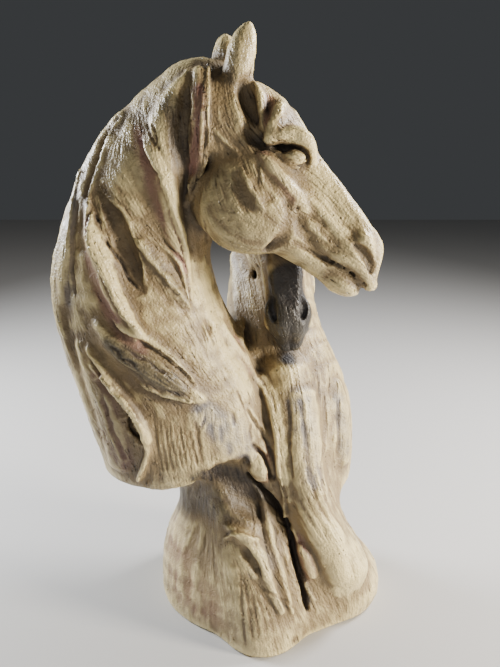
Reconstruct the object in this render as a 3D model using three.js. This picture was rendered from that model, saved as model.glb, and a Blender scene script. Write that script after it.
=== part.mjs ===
// Double horse head statue: two horses nuzzling, modelled in clay as one piece with their rock-like stand.
// Millimetres, +Z up. The front horse looks towards +X and shows its right side to -Y; the horse behind it
// faces -Y and tucks its muzzle under the front horse's jaw. The origin is in the middle of the underside.
import * as THREE from "three";

// Driving dimensions
const HEIGHT = 450; // ear tip above the table
const FOOT_HALF_WIDTH = 92;
const FOOT_HALF_DEPTH = 72;
const WAIST_HEIGHT = 82; // the stand is narrowest here
const FRONT_HEAD_SCALE = 0.97;
const BACK_HEAD_SCALE = 0.95;
const CELL = 3; // pitch of the grid that the surface is traced on
const TRIANGLES = 9600; // what the traced surface is thinned to
const CLAY = { color: 0xb8a888, roughness: 0.62, metalness: 0.08 };

const BLOCK = 4; // cells to a side of the blocks that are passed over where the surface is far
const FAR = 1e4;
const LEAST_HALF_WIDTH = 0.3;
const PUT_BLEND = 3; // fillet where a lock meets the surface
const CUT_BLEND = 1.5;
const SIDEWAYS = [0, 1, 0]; // the front horse's left and right
const CROSSWAYS = [1, 0, 0]; // the back horse's left and right
const ARCH_WIDTH_WAY = [0.4, 0, 0.9];

// Vectors are plain arrays of three numbers
const add = (a, b, t = 1) => [a[0] + b[0] * t, a[1] + b[1] * t, a[2] + b[2] * t];
const dot = (a, b) => a[0] * b[0] + a[1] * b[1] + a[2] * b[2];
const cross = (a, b) => [a[1] * b[2] - a[2] * b[1], a[2] * b[0] - a[0] * b[2], a[0] * b[1] - a[1] * b[0]];
const scaled = (a, t) => [a[0] * t, a[1] * t, a[2] * t];
const long = (x, y, z) => Math.sqrt(x * x + y * y + z * z);
const unit = (a) => scaled(a, 1 / (long(...a) || 1));
const mix = (a, b, t) => a + (b - a) * t;

// Two surfaces run into each other over a fillet of about the blend's width
function joined(a, b, blend) {
  const near = Math.max(blend - Math.abs(a - b), 0);
  return Math.min(a, b) - (blend > 0 ? (near * near) / (4 * blend) : 0);
}

// A form is a solid given by the distance to its surface, below zero inside. It lies within the box from
// low to high, so that forms far from a point are passed over.
function ellipsoid([cx, cy, cz], radii, axes = [[1, 0, 0], [0, 1, 0], [0, 0, 1]]) {
  const [[ux, uy, uz], [vx, vy, vz], [wx, wy, wz]] = axes;
  const [ru, rv, rw] = radii;
  const distance = (x, y, z) => {
    const u = ((x - cx) * ux + (y - cy) * uy + (z - cz) * uz) / ru;
    const v = ((x - cx) * vx + (y - cy) * vy + (z - cz) * vz) / rv;
    const w = ((x - cx) * wx + (y - cy) * wy + (z - cz) * wz) / rw;
    const near = Math.sqrt(u * u + v * v + w * w);
    const steep = Math.sqrt((u / ru) ** 2 + (v / rv) ** 2 + (w / rw) ** 2);
    return steep > 0 ? (near * (near - 1)) / steep : -Math.min(ru, rv, rw);
  };
  const reach = Math.max(ru, rv, rw);
  const low = [cx - reach, cy - reach, cz - reach];
  return { low, high: add(low, [2, 2, 2], reach), distance };
}

// How far a point is outside a form's box
function gapTo({ low, high }, x, y, z) {
  const gx = Math.max(low[0] - x, 0, x - high[0]);
  const gy = Math.max(low[1] - y, 0, y - high[1]);
  const gz = Math.max(low[2] - z, 0, z - high[2]);
  return long(gx, gy, gz);
}

// The station at share t from 0 to 1 on the smooth line through all stations
function stationAt(stations, t) {
  const last = stations.length - 1;
  const i = Math.min(Math.floor(t * last), last - 1);
  const u = t * last - i;
  const [a, b, c, d] = [-1, 0, 1, 2].map((k) => stations[Math.min(Math.max(i + k, 0), last)]);
  const through = (p, q, r, s) =>
    q + 0.5 * u * (r - p + u * (2 * p - 5 * q + 4 * r - s + u * (3 * (q - r) + s - p)));
  return a.map((_, k) => through(a[k], b[k], c[k], d[k]));
}

// A swept solid with an oval section. A station is [x, y, z, half width along side, half depth]. side is
// one direction, or one for each station.
function limb(stations, side, parts = 4) {
  const steps = (stations.length - 1) * parts;
  const sides = stations.map((_, i) => (Array.isArray(side[0]) ? side[i] : side));
  const rings = [];
  for (let i = 0; i <= steps; i++) {
    const [x, y, z, wide, deep] = stationAt(stations, i / steps);
    const [half, depth] = [Math.max(wide, LEAST_HALF_WIDTH), Math.max(deep, LEAST_HALF_WIDTH)];
    rings.push({ at: [x, y, z], wide: half, deep: depth, side: unit(stationAt(sides, i / steps)) });
  }
  const low = [0, 1, 2].map((k) => Math.min(...rings.map((r) => r.at[k] - Math.max(r.wide, r.deep))));
  const high = [0, 1, 2].map((k) => Math.max(...rings.map((r) => r.at[k] + Math.max(r.wide, r.deep))));
  const pieces = rings.slice(1).map((b, i) => {
    const a = rings[i];
    const [rx, ry, rz] = add(b.at, a.at, -1);
    const [tx, ty, tz] = add(b.side, a.side, -1);
    const [[ax, ay, az], [sx, sy, sz]] = [a.at, a.side];
    const length2 = rx * rx + ry * ry + rz * rz || 1e-9;
    const [aw, ad, bw, bd] = [a.wide, a.deep, b.wide - a.wide, b.deep - a.deep];
    return { ax, ay, az, rx, ry, rz, aw, ad, bw, bd, sx, sy, sz, tx, ty, tz, length2 };
  });
  const distance = (x, y, z) => {
    let best = FAR;
    for (let i = 0; i < pieces.length; i++) {
      const { ax, ay, az, rx, ry, rz, aw, ad, bw, bd, sx, sy, sz, tx, ty, tz, length2 } = pieces[i];
      let px = x - ax;
      let py = y - ay;
      let pz = z - az;
      const t = Math.min(Math.max((px * rx + py * ry + pz * rz) / length2, 0), 1);
      px -= rx * t;
      py -= ry * t;
      pz -= rz * t;
      const wide = aw + bw * t;
      const deep = ad + bd * t;
      const across = px * (sx + tx * t) + py * (sy + ty * t) + pz * (sz + tz * t);
      const across2 = (across * across) / (wide * wide);
      const rest2 = Math.max(px * px + py * py + pz * pz - across * across, 0) / (deep * deep);
      const near = Math.sqrt(across2 + rest2);
      const steep = Math.sqrt(across2 / (wide * wide) + rest2 / (deep * deep));
      const d = steep > 0 ? (near * (near - 1)) / steep : -Math.min(wide, deep);
      if (d < best) best = d;
    }
    return best;
  };
  return { low, high, distance };
}

// Strokes are put on or cut away one after the other, as a modeller does
const put = (form, blend) => ({ form, blend, cut: false });
const cut = (form, blend) => ({ form, blend, cut: true });

function clay(strokes) {
  const distance = (x, y, z) => {
    let d = FAR;
    for (const { form, blend, cut: away } of strokes) {
      const gap = gapTo(form, x, y, z);
      if (away) {
        if (gap <= blend - d) d = -joined(-d, form.distance(x, y, z), blend);
      } else if (gap <= d + blend) d = joined(d, form.distance(x, y, z), blend);
    }
    return d;
  };
  const puts = strokes.filter((s) => !s.cut).map((s) => s.form);
  const low = [0, 1, 2].map((k) => Math.min(...puts.map((f) => f.low[k])));
  const high = [0, 1, 2].map((k) => Math.max(...puts.map((f) => f.high[k])));
  return { low, high, distance };
}

// A form given in a horse head's own measures: along from the poll to the lips, out from the jaw to the
// nose, and aside from the middle, the same on both sides
function onHead(form, head) {
  const { poll, along, out, aside, scale } = head;
  const [[px, py, pz], [lx, ly, lz], [nx, ny, nz], [sx, sy, sz]] = [poll, along, out, aside];
  const distance = (x, y, z) => {
    const [dx, dy, dz] = [(x - px) / scale, (y - py) / scale, (z - pz) / scale];
    const s = Math.abs(dx * sx + dy * sy + dz * sz);
    return scale * form.distance(dx * lx + dy * ly + dz * lz, dx * nx + dy * ny + dz * nz, s);
  };
  const aside2 = Math.max(Math.abs(form.low[2]), Math.abs(form.high[2]));
  const corners = [0, 1, 2, 3, 4, 5, 6, 7].map((i) => {
    const l = i & 1 ? form.low[0] : form.high[0];
    const n = i & 2 ? form.low[1] : form.high[1];
    const s = i & 4 ? aside2 : -aside2;
    return [0, 1, 2].map((k) => poll[k] + (along[k] * l + out[k] * n + aside[k] * s) * scale);
  });
  const low = [0, 1, 2].map((k) => Math.min(...corners.map((c) => c[k])));
  const high = [0, 1, 2].map((k) => Math.max(...corners.map((c) => c[k])));
  return { low, high, distance };
}

// A head's frame: along points from the poll to the lips, and out from the jaw to the bridge of the nose
function headFrame(poll, lips, out, scale) {
  const along = unit(add(lips, poll, -1));
  const straight = unit(add(out, along, -dot(out, along)));
  return { poll, along, out: straight, aside: cross(along, straight), scale };
}

const turned = (degrees) => {
  const a = THREE.MathUtils.degToRad(degrees);
  return [[Math.cos(a), Math.sin(a), 0], [-Math.sin(a), Math.cos(a), 0], [0, 0, 1]];
};
const ACROSS = [0, 0, 1];

function headStrokes(head) {
  const strokes = [];
  const egg = (middle, radii, blend, angle = 0) =>
    strokes.push(put(onHead(ellipsoid(middle, radii, turned(angle)), head), blend * head.scale));
  const swept = (stations) => onHead(limb(stations, ACROSS), head);
  const on = (blend, ...stations) => strokes.push(put(swept(stations), blend * head.scale));
  const off = (blend, ...stations) => strokes.push(cut(swept(stations), blend * head.scale));
  // skull, forehead and the tapering bridge of the nose, flat on top
  egg([24, -14, 0], [38, 33, 27], 0);
  egg([48, 5, 0], [34, 24, 24], 14, -3);
  on(12, [62, 0, 0, 22, 22], [92, 0, 0, 16, 20], [122, -1, 0, 14, 19], [146, -5, 0, 13, 18]);
  on(4, [84, 12, 7, 6, 7.5], [104, 12, 8, 5, 7], [126, 10.5, 8, 5, 7], [146, 7, 7, 5, 6.5]);
  on(10, [74, -22, 0, 27, 24], [106, -21, 0, 20, 19], [140, -18, 0, 14, 14]);
  // the round cheeks and the bars of the jaw down to the chin
  egg([77, -36, 15], [36, 35, 16], 6);
  on(8, [64, -50, 9, 16, 20], [100, -38, 9, 13, 13], [134, -32, 5, 9, 10], [156, -30, 0, 10, 9]);
  // muzzle, upper lip and chin
  egg([150, -6, 0], [16, 17, 16], 8);
  on(6, [156, -4, 5, 9, 9], [166, -10, 4, 8, 8], [175, -13, 3, 6, 5]);
  egg([162, -28, 0], [15, 9.5, 12], 5, 12);
  // the temple: a deep hollow behind the eye, a second one before it, and the edge left between them
  off(
    4,
    [22, 15, 25, 4, 5],
    [30, 11, 26.5, 6, 7],
    [38, 7, 28, 6.5, 6.5],
    [46, 2, 28, 6, 5.5],
    [58, -7, 28, 3, 3.5],
  );
  off(3, [38, 21, 20, 3, 3.5], [43, 16, 23, 4.5, 4.5], [48, 11, 25.5, 5, 4.5], [52, 5, 27.5, 4.5, 4]);
  on(5, [44, 23, 11, 4, 4], [48.5, 20.5, 16.4, 4.4, 4.4], [51, 15, 20.5, 4.2, 4.2], [58, 1, 23, 3, 3]);
  // the eye in its socket under the heavy brow, with both lids
  off(4, [67, 5, 25, 4, 4], [76, 5, 24.5, 5.5, 5], [84, 6, 22, 4, 4]);
  on(
    3,
    [56, 6, 19.5, 5, 3],
    [62, 11, 19.5, 6, 4.6],
    [68, 15.5, 18.5, 6.6, 5.6],
    [79, 17.4, 16.6, 6.6, 4.8],
    [83, 14.5, 15, 5, 4],
  );
  egg([77, 6.5, 17.5], [5.8, 5.6, 6.4], 0.8);
  on(
    1.6,
    [68, 4.5, 22, 2, 2],
    [72.5, 0.8, 22.4, 2.2, 2.2],
    [79, -0.2, 21.8, 2.2, 2.2],
    [85, 3.5, 19, 2, 2],
  );
  // the crest from under the eye to the lip, with a furrow on both sides
  on(
    4,
    [62, -7, 23.5, 2.6, 3],
    [74, -8.5, 25, 3.8, 4],
    [86, -8.5, 23.4, 3.8, 4],
    [106, -11, 17.6, 2.8, 3],
  );
  off(
    3,
    [66, -13.5, 28, 2.4, 2.6],
    [77, -15, 28.8, 2.8, 3],
    [88, -14.5, 26.6, 2.6, 3],
    [97, -16, 24, 2.2, 2.4],
  );
  on(3, [97, -5, 17, 2.8, 3], [112, -4, 15, 2.8, 3], [150, -7, 13, 2.6, 2.8], [164, -9, 11, 2.6, 2.8]);
  off(
    2.5,
    [83, 11, 18.6, 2, 2.6],
    [104, 4, 17.2, 2.6, 3],
    [118, 3, 16.6, 2.6, 3],
    [132, 3, 16, 2.4, 3],
  );
  // the cheek's front edge, and the furrow between jaw and lip
  off(3, [98, -16, 25, 2.4, 2.6], [104, -20, 24, 2.6, 3], [111, -36, 20, 2.6, 3], [108, -46, 16, 2.4, 3]);
  off(4, [110, -19, 20, 2.8, 3.2], [126, -24, 18, 3, 3.6], [142, -25, 15.4, 2.6, 3]);
  // nostril: a deep comma under a round wing, with the thin front rim
  egg([150, 3, 10.5], [8, 6.5, 6.5], 3, -20);
  on(3, [150, 10, 3, 4, 4], [159, 8, 5, 3.4, 3.4], [166, 1, 6, 2.8, 2.8], [171, -6, 5, 2.6, 2.6]);
  off(
    1.5,
    [149, -3, 16, 2.2, 2.4],
    [156, -2, 15, 3.8, 3.8],
    [163, -3.5, 12.6, 3.4, 3.6],
    [168, -7, 10.6, 2, 2.2],
  );
  // the mouth, and the pad of the upper lip over it
  on(
    2.5,
    [128, -19, 12.6, 2.4, 2.4],
    [142, -18, 13.4, 2.6, 2.6],
    [158, -12.5, 12.4, 2.8, 2.8],
    [167, -12.5, 8.6, 2.8, 2.8],
  );
  off(1, [147, -21, 13, 5, 1.4], [158, -18, 10, 7, 1.8], [170, -16, 4, 9, 1.6], [180, -16.5, 0, 10, 1.8]);
  return strokes;
}

// Place in space of a point in head measures
const placeOn = ({ poll, along, out, aside, scale }, [l, n, s]) =>
  add(add(add(poll, along, l * scale), out, n * scale), aside, s * scale);

// A pointed ear from base to tip in head measures. hollow is the direction in space that its open side
// faces; wide and deep are its greatest half width across the open side and half depth.
function earStrokes(head, base, tip, hollow, wide, deep) {
  const [low, high] = [placeOn(head, base), placeOn(head, tip)];
  const along = unit(add(high, low, -1));
  const face = unit(add(hollow, along, -dot(hollow, along)));
  const side = cross(along, face);
  const length = long(...add(high, low, -1));
  // share of the length, and share of the greatest size there
  const OUTER = [[0, 0.86], [0.25, 1], [0.5, 0.96], [0.75, 0.72], [0.92, 0.42], [1, 0.2]];
  const INNER = [[0.15, 0.5], [0.4, 0.62], [0.7, 0.42], [0.85, 0.2]];
  const outer = OUTER.map(([t, size]) => [...add(low, along, t * length), wide * size, deep * size]);
  const inner = INNER.map(([t, size]) => {
    const middle = add(add(low, along, t * length), face, deep * (1.15 - 0.45 * t));
    return [...middle, wide * size, deep * size];
  });
  return [put(limb(outer, side), 5), cut(limb(inner, side), 2)];
}

const FRONT_HEAD = headFrame([-45, -20, 412], [70, -52, 293], [0.75, 0, 0.66], FRONT_HEAD_SCALE);
const BACK_HEAD = headFrame([-4, 36, 386], [11, -32, 226], [0, -0.93, 0.3], BACK_HEAD_SCALE);

// The back horse's broader muzzle, with nostrils that open to the front
function backMuzzle() {
  const nostril = limb([[141, 11, 11, 2, 2], [149, 12, 12.5, 3.4, 3.2], [156, 9, 10.5, 2, 2.4]], ACROSS);
  return [
    put(onHead(ellipsoid([154, -4, 0], [17, 15, 19]), BACK_HEAD), 6),
    put(onHead(ellipsoid([149, 5, 11], [8, 7, 6]), BACK_HEAD), 4),
    cut(onHead(nostril, BACK_HEAD), 1.5),
  ];
}

// Degrees round the statue from +X, and the height of the lower edge of the hair there
const HEM = [
  [-180, 120],
  [-150, 126],
  [-128, 138],
  [-117, 150],
  [-105, 133],
  [-80, 96],
  [-40, 92],
  [-12, 104],
  [20, 108],
  [60, 122],
  [90, 128],
  [125, 118],
  [155, 122],
  [180, 116],
];

function hemHeight(x, y) {
  const angle = THREE.MathUtils.radToDeg(Math.atan2(y, x));
  const i = Math.max(HEM.findIndex(([a]) => a >= angle), 1);
  const [[a0, h0], [a1, h1]] = [HEM[i - 1], HEM[i]];
  const t = (angle - a0) / (a1 - a0);
  return mix(h0, h1, t * t * (3 - 2 * t));
}

function masses() {
  const frontNeck = limb(
    [
      [-53, -15, 391, 29, 39],
      [-86, -12, 348, 36, 50],
      [-104, -12, 300, 43, 55],
      [-103, -12, 252, 50, 62],
      [-88, -10, 206, 56, 67],
      [-74, -8, 165, 58, 71],
      [-64, -5, 120, 58, 71],
    ],
    SIDEWAYS,
  );
  const backNeck = limb(
    [
      [0, 64, 362, 27, 30],
      [-2, 72, 320, 31, 36],
      [-3, 64, 268, 34, 40],
      [0, 42, 215, 42, 46],
      [12, 22, 160, 53, 52],
      [14, 12, 100, 52, 52],
    ],
    CROSSWAYS,
  );
  const belowHem = {
    low: [-FAR, -FAR, -FAR],
    high: [FAR, FAR, 160],
    distance: (x, y, z) => z - hemHeight(x, y),
  };
  const upper = clay([put(frontNeck, 0), put(backNeck, 10), cut(belowHem, 8)]);
  const stump = limb(
    [
      [-8, 2, -10, FOOT_HALF_WIDTH - 4, FOOT_HALF_DEPTH],
      [-12, 2, 32, FOOT_HALF_WIDTH - 8, FOOT_HALF_DEPTH - 4],
      [-14, 4, WAIST_HEIGHT, 66, 50],
      [-18, 6, 140, 66, 48],
    ],
    CROSSWAYS,
  );
  const frontCorner = limb(
    [
      [-32, -28, 118, 20, 18],
      [-22, -50, 60, 24, 20],
      [-12, -60, 14, 28, 25],
      [-10, -62, -10, 28, 25],
    ],
    CROSSWAYS,
  );
  const rightLobe = ellipsoid([56, -6, 14], [36, 42, 33]);
  const chestRidge = limb(
    [
      [8, -14, 205, 15, 12],
      [16, -24, 150, 17, 18],
      [30, -32, 96, 20, 20],
      [52, -36, 46, 24, 22],
    ],
    CROSSWAYS,
  );
  // the recess under the arched hem
  const arch = limb(
    [
      [-54, -50, 137, 8, 8],
      [-38, -53, 135, 14, 14],
      [-23, -52, 119, 15, 13],
      [-10, -47, 105, 9, 8],
    ],
    ARCH_WIDTH_WAY,
  );
  const table = { low: [-FAR, -FAR, -FAR], high: [FAR, FAR, 0], distance: (x, y, z) => z };
  return [
    put(stump, 0),
    put(frontCorner, 16),
    put(rightLobe, 14),
    put(upper, 10),
    put(chestRidge, 12),
    cut(arch, 7),
    cut(table, 2),
  ];
}

// Where a straight line first meets the form, or null
function meet(form, from, way, length) {
  let t = 0;
  while (t < length) {
    const d = form.distance(...add(from, way, t));
    if (d < 0.05) return add(from, way, t);
    t += Math.max(d * 0.6, 0.2);
  }
  return null;
}

function normalAt(form, p) {
  const e = 1.5;
  const slope = (axis) => form.distance(...add(p, axis, e)) - form.distance(...add(p, axis, -e));
  return unit([slope([1, 0, 0]), slope([0, 1, 0]), slope([0, 0, 1])]);
}

// The directions that strokes are laid from: a stroke's points are [across, up, half width]
const VIEWS = {
  right: { start: (across, up) => [across, -240, up], way: [0, 1, 0] },
  left: { start: (across, up) => [across, 260, up], way: [0, -1, 0] },
  behind: { start: (across, up) => [-300, across, up], way: [1, 0, 0] },
  ahead: { start: (across, up) => [260, across, up], way: [-1, 0, 0] },
};

// A stroke laid along a form's surface. rise is how far its middle stands above the surface, or how deep it
// goes when cut; lean in degrees lifts the edge that is on the left going up the stroke.
function laid(form, view, points, rise, lean = 0) {
  const { start, way } = VIEWS[view];
  const steps = (points.length - 1) * 3;
  const rings = [];
  for (let i = 0; i <= steps; i++) {
    const [across, up, wide] = stationAt(points, i / steps);
    const at = meet(form, start(across, up), way, 560);
    if (at) rings.push({ at, wide: Math.max(wide, LEAST_HALF_WIDTH), normal: normalAt(form, at) });
  }
  const widest = Math.max(...rings.map((r) => r.wide));
  const tip = THREE.MathUtils.degToRad(lean);
  const stations = [];
  const sides = [];
  rings.forEach(({ at, wide, normal }, i) => {
    const before = rings[Math.max(i - 1, 0)].at;
    const after = rings[Math.min(i + 1, rings.length - 1)].at;
    const side = unit(cross(unit(add(after, before, -1)), normal));
    const height = rise * Math.sqrt(wide / widest);
    const deep = height + wide * 0.3;
    stations.push([...add(at, normal, height - deep), wide, deep]);
    sides.push(add(scaled(side, Math.cos(tip)), normal, Math.sin(tip)));
  });
  return limb(stations, sides, 1);
}

// Hair and carving of the side that faces -Y: how far proud, how much leaned, and points down each stroke
const RIGHT_RAISED = [
  // the crest along the neck, and the mane's long sheaves from the poll down to the shoulder
  [3, 0, [
    [-107, 393, 4], [-123, 374, 5], [-136, 348, 6], [-144, 318, 6], [-150, 284, 6], [-155, 246, 5],
  ]],
  [5, 0, [
    [-70, 405, 9], [-76, 386, 10.3], [-77, 367, 9.8], [-74, 345, 9.3], [-71, 319, 8.1], [-66, 295, 5.5],
    [-62, 273, 1.4],
  ]],
  [5, 8, [
    [-53, 417, 5.1], [-53, 401, 5.1], [-53, 386, 4.8], [-55, 371, 4.2], [-56, 357, 3.3], [-59, 345, 2],
    [-62, 337, 0.7],
  ]],
  [5.5, 0, [
    [-47, 417, 1.6], [-48, 401, 1.6], [-49, 386, 1.5], [-51, 367, 1.5], [-54, 355, 1.4],
    [-58, 344, 0.9],
  ]],
  [4.5, -8, [[-99, 339, 2], [-88, 321, 4.7], [-81, 306, 6.4], [-73, 291, 6.1], [-64, 274, 2.1]]],
  [4.5, 8, [[-121, 344, 2], [-112, 326, 5.3], [-104, 311, 6.7], [-98, 298, 6], [-93, 281, 2]]],
  [6, 14, [
    [-129, 335, 2.7], [-126, 316, 6], [-119, 298, 7.4], [-113, 280, 7.4], [-105, 264, 6.8],
    [-98, 250, 5.4],
  ]],
  [9, 10, [
    [-124, 261, 4.1], [-116, 249, 7.5], [-104, 238, 8.2], [-90, 227, 7.6], [-74, 218, 6.2],
    [-57, 208, 2.8],
  ]],
  [5, 0, [
    [-139, 239, 5.6], [-131, 216, 9.9], [-123, 192, 12.9], [-119, 167, 14.6], [-119, 146, 11.2],
  ]],
  [6, 0, [
    [-130, 236, 2.1], [-116, 216, 2.8], [-104, 199, 3.2], [-94, 183, 3.2], [-93, 162, 2.9],
    [-101, 140, 2.2],
  ]],
  // throat, chest and the bundle that runs down into the foot
  [3, 0, [[-40, 248, 2.9], [-32, 233, 3.7], [-22, 217, 3.8], [-15, 203, 1.9]]],
  [3, 0, [[-11, 201, 6.9], [-2, 180, 6.1], [3, 159, 4.6], [5, 136, 4.6], [11, 113, 4.6]]],
  [4, 0, [
    [23, 191, 12.2], [24, 152, 12.9], [27, 122, 13], [34, 94, 13.1], [45, 69, 12.4], [50, 50, 9.4],
  ]],
  [3, 0, [[51, 189, 7.3], [57, 158, 8.9], [57, 129, 7.3]]],
  [3, 0, [[-14, 144, 5], [-14, 137, 7.6], [-13, 130, 6.9]]],
  [2.5, 0, [[-35, 284, 5.2], [-32, 260, 5.8], [-29, 238, 4.6], [-23, 218, 3]]],
  // lumps of the stand
  [5, 0, [[-34, 94, 3.8], [-22, 88, 6.1], [-12, 73, 6.1], [-5, 54, 5.3], [3, 35, 3]]],
  [4, 0, [[-11, 118, 3.1], [-7, 96, 3.9], [-2, 76, 3.9], [6, 50, 3.8], [11, 31, 2.3]]],
];
const RIGHT_CUT = [
  [5, 0, [[-60, 408, 2], [-60, 389, 2.4], [-62, 371, 2.4], [-63, 355, 2.2], [-63, 338, 1.6]]],
  [4, 0, [[-86, 391, 1.6], [-82, 382, 2.4], [-79, 370, 1.6]]],
  [4, 0, [[-78, 313, 1.6], [-69, 304, 2.2], [-64, 291, 2.2], [-61, 272, 1.4]]],
  [4, 0, [[-91, 310, 1.4], [-84, 292, 2.2], [-76, 279, 2.2], [-66, 271, 1.4]]],
  [4.5, 0, [
    [-125, 330, 1.6], [-116, 312, 2.3], [-109, 299, 2.3], [-103, 288, 2.3], [-93, 278, 1.6],
  ]],
  [5, 0, [[-133, 322, 2], [-131, 306, 2.6], [-125, 290, 2.6], [-120, 273, 2.6], [-114, 257, 2]]],
  [7, 0, [
    [-125, 238, 2.8], [-113, 226, 3.8], [-100, 215, 4.2], [-84, 208, 3.8], [-66, 202, 2.8],
    [-57, 199, 1.8],
  ]],
  [8, 0, [[-106, 189, 2.4], [-103, 180, 3.8], [-99, 172, 2.4]]],
  // the deep cleft between the two horses' chests
  [13, 0, [
    [-18, 127, 3.4], [-8, 118, 5], [3, 102, 6.4], [11, 85, 6.6], [17, 66, 6.2], [21, 47, 5.2],
    [25, 27, 2.4],
  ]],
  [5, 0, [[-19, 176, 1.6], [-16, 160, 2.4], [-8, 146, 2.4], [-4, 132, 2.2]]],
  [4, 0, [[9, 195, 1.6], [11, 167, 2.4], [13, 137, 2.4], [18, 109, 1.6]]],
  [5, 0, [[-24, 83, 2.4], [-21, 77, 3.2], [-17, 70, 2.2]]],
];

// A cell's eight corners are numbered by bits: 1 along X, 2 along Y, 4 along Z. A cell is plain when its
// inner corners hang together along its edges and its outer corners do too.
function hangsTogether(corners) {
  const reached = corners.slice(0, 1);
  for (const c of reached)
    for (const next of [c ^ 1, c ^ 2, c ^ 4])
      if (corners.includes(next) && !reached.includes(next)) reached.push(next);
  return reached.length === corners.length;
}

const PLAIN = Array.from({ length: 256 }, (_, signs) => {
  const corners = [0, 1, 2, 3, 4, 5, 6, 7];
  const inner = corners.filter((c) => (signs >> c) & 1);
  return hangsTogether(inner) && hangsTogether(corners.filter((c) => !inner.includes(c)));
});

// Fills the cells that the surface crosses in two places, so that one vertex in each cell is enough
function filled(values, n, at, cell) {
  let changed = true;
  while (changed) {
    changed = false;
    for (let i = 0; i < n[0] - 1; i++)
      for (let j = 0; j < n[1] - 1; j++)
        for (let k = 0; k < n[2] - 1; k++) {
          let signs = 0;
          for (let c = 0; c < 8; c++)
            if (values[at(i + (c & 1), j + ((c >> 1) & 1), k + (c >> 2))] < 0) signs |= 1 << c;
          if (PLAIN[signs]) continue;
          let nearest = -1;
          for (let c = 0; c < 8; c++) {
            const corner = at(i + (c & 1), j + ((c >> 1) & 1), k + (c >> 2));
            if (values[corner] >= 0 && (nearest < 0 || values[corner] < values[nearest])) nearest = corner;
          }
          values[nearest] = -0.05 * cell;
          changed = true;
        }
  }
}

// Surface of a form on an even grid: one vertex in each cell that the surface crosses
function traced(form, low, high, cell) {
  const n = low.map((l, i) => Math.ceil((high[i] - l) / cell) + 1);
  const at = (i, j, k) => (i * n[1] + j) * n[2] + k;
  const values = new Float32Array(n[0] * n[1] * n[2]);
  const skip = BLOCK * cell * Math.sqrt(3) * 0.8;
  for (let bi = 0; bi < n[0]; bi += BLOCK)
    for (let bj = 0; bj < n[1]; bj += BLOCK)
      for (let bk = 0; bk < n[2]; bk += BLOCK) {
        const middle = [bi, bj, bk].map((b, c) => low[c] + (b + (BLOCK - 1) / 2) * cell);
        const about = form.distance(...middle);
        const all = Math.abs(about) > skip;
        const exact = (i, j, k) => form.distance(low[0] + i * cell, low[1] + j * cell, low[2] + k * cell);
        for (let i = bi; i < Math.min(bi + BLOCK, n[0]); i++)
          for (let j = bj; j < Math.min(bj + BLOCK, n[1]); j++)
            for (let k = bk; k < Math.min(bk + BLOCK, n[2]); k++)
              values[at(i, j, k)] = all ? about : exact(i, j, k);
      }
  filled(values, n, at, cell);
  const vertexOf = new Int32Array(values.length).fill(-1);
  const positions = [];
  const steps = [[1, 0, 0], [0, 1, 0], [0, 0, 1]];
  for (let i = 0; i < n[0] - 1; i++)
    for (let j = 0; j < n[1] - 1; j++)
      for (let k = 0; k < n[2] - 1; k++) {
        const sum = [0, 0, 0];
        let crossings = 0;
        for (let axis = 0; axis < 3; axis++)
          for (let side = 0; side < 4; side++) {
            const corner = [0, 0, 0];
            corner[(axis + 1) % 3] = side & 1;
            corner[(axis + 2) % 3] = side >> 1;
            const [di, dj, dk] = corner;
            const [ei, ej, ek] = steps[axis];
            const a = values[at(i + di, j + dj, k + dk)];
            const b = values[at(i + di + ei, j + dj + ej, k + dk + ek)];
            if (a < 0 === b < 0) continue;
            corner[axis] += a / (a - b);
            for (let c = 0; c < 3; c++) sum[c] += corner[c];
            crossings++;
          }
        if (!crossings) continue;
        vertexOf[at(i, j, k)] = positions.length;
        positions.push([i, j, k].map((g, c) => low[c] + (g + sum[c] / crossings) * cell));
      }
  const faces = [];
  for (let i = 1; i < n[0] - 1; i++)
    for (let j = 1; j < n[1] - 1; j++)
      for (let k = 1; k < n[2] - 1; k++) {
        const inside = values[at(i, j, k)] < 0;
        for (let axis = 0; axis < 3; axis++) {
          const [ei, ej, ek] = steps[axis];
          if (inside === values[at(i + ei, j + ej, k + ek)] < 0) continue;
          const [u, v] = [steps[(axis + 1) % 3], steps[(axis + 2) % 3]];
          const quad = [[1, 1], [0, 1], [0, 0], [1, 0]].map(([p, q]) =>
            vertexOf[at(i - p * u[0] - q * v[0], j - p * u[1] - q * v[1], k - p * u[2] - q * v[2])],
          );
          const [a, b, c, d] = inside ? quad : quad.reverse();
          faces.push([a, b, c], [a, c, d]);
        }
      }
  return { positions, faces };
}

// The outer skin alone: small pockets that are closed off inside the clay are left solid
function outerSkin({ positions, faces }) {
  const touching = positions.map(() => []);
  faces.forEach((face, f) => face.forEach((v) => touching[v].push(f)));
  const bodyOf = new Int32Array(faces.length).fill(-1);
  const bodies = [];
  faces.forEach((_, first) => {
    if (bodyOf[first] >= 0) return;
    const body = [first];
    bodyOf[first] = bodies.length;
    for (const f of body)
      for (const v of faces[f])
        for (const g of touching[v]) {
          if (bodyOf[g] >= 0) continue;
          bodyOf[g] = bodies.length;
          body.push(g);
        }
    bodies.push(body);
  });
  const skin = bodies.sort((a, b) => b.length - a.length)[0];
  return { positions, faces: skin.map((f) => faces[f]) };
}

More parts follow.
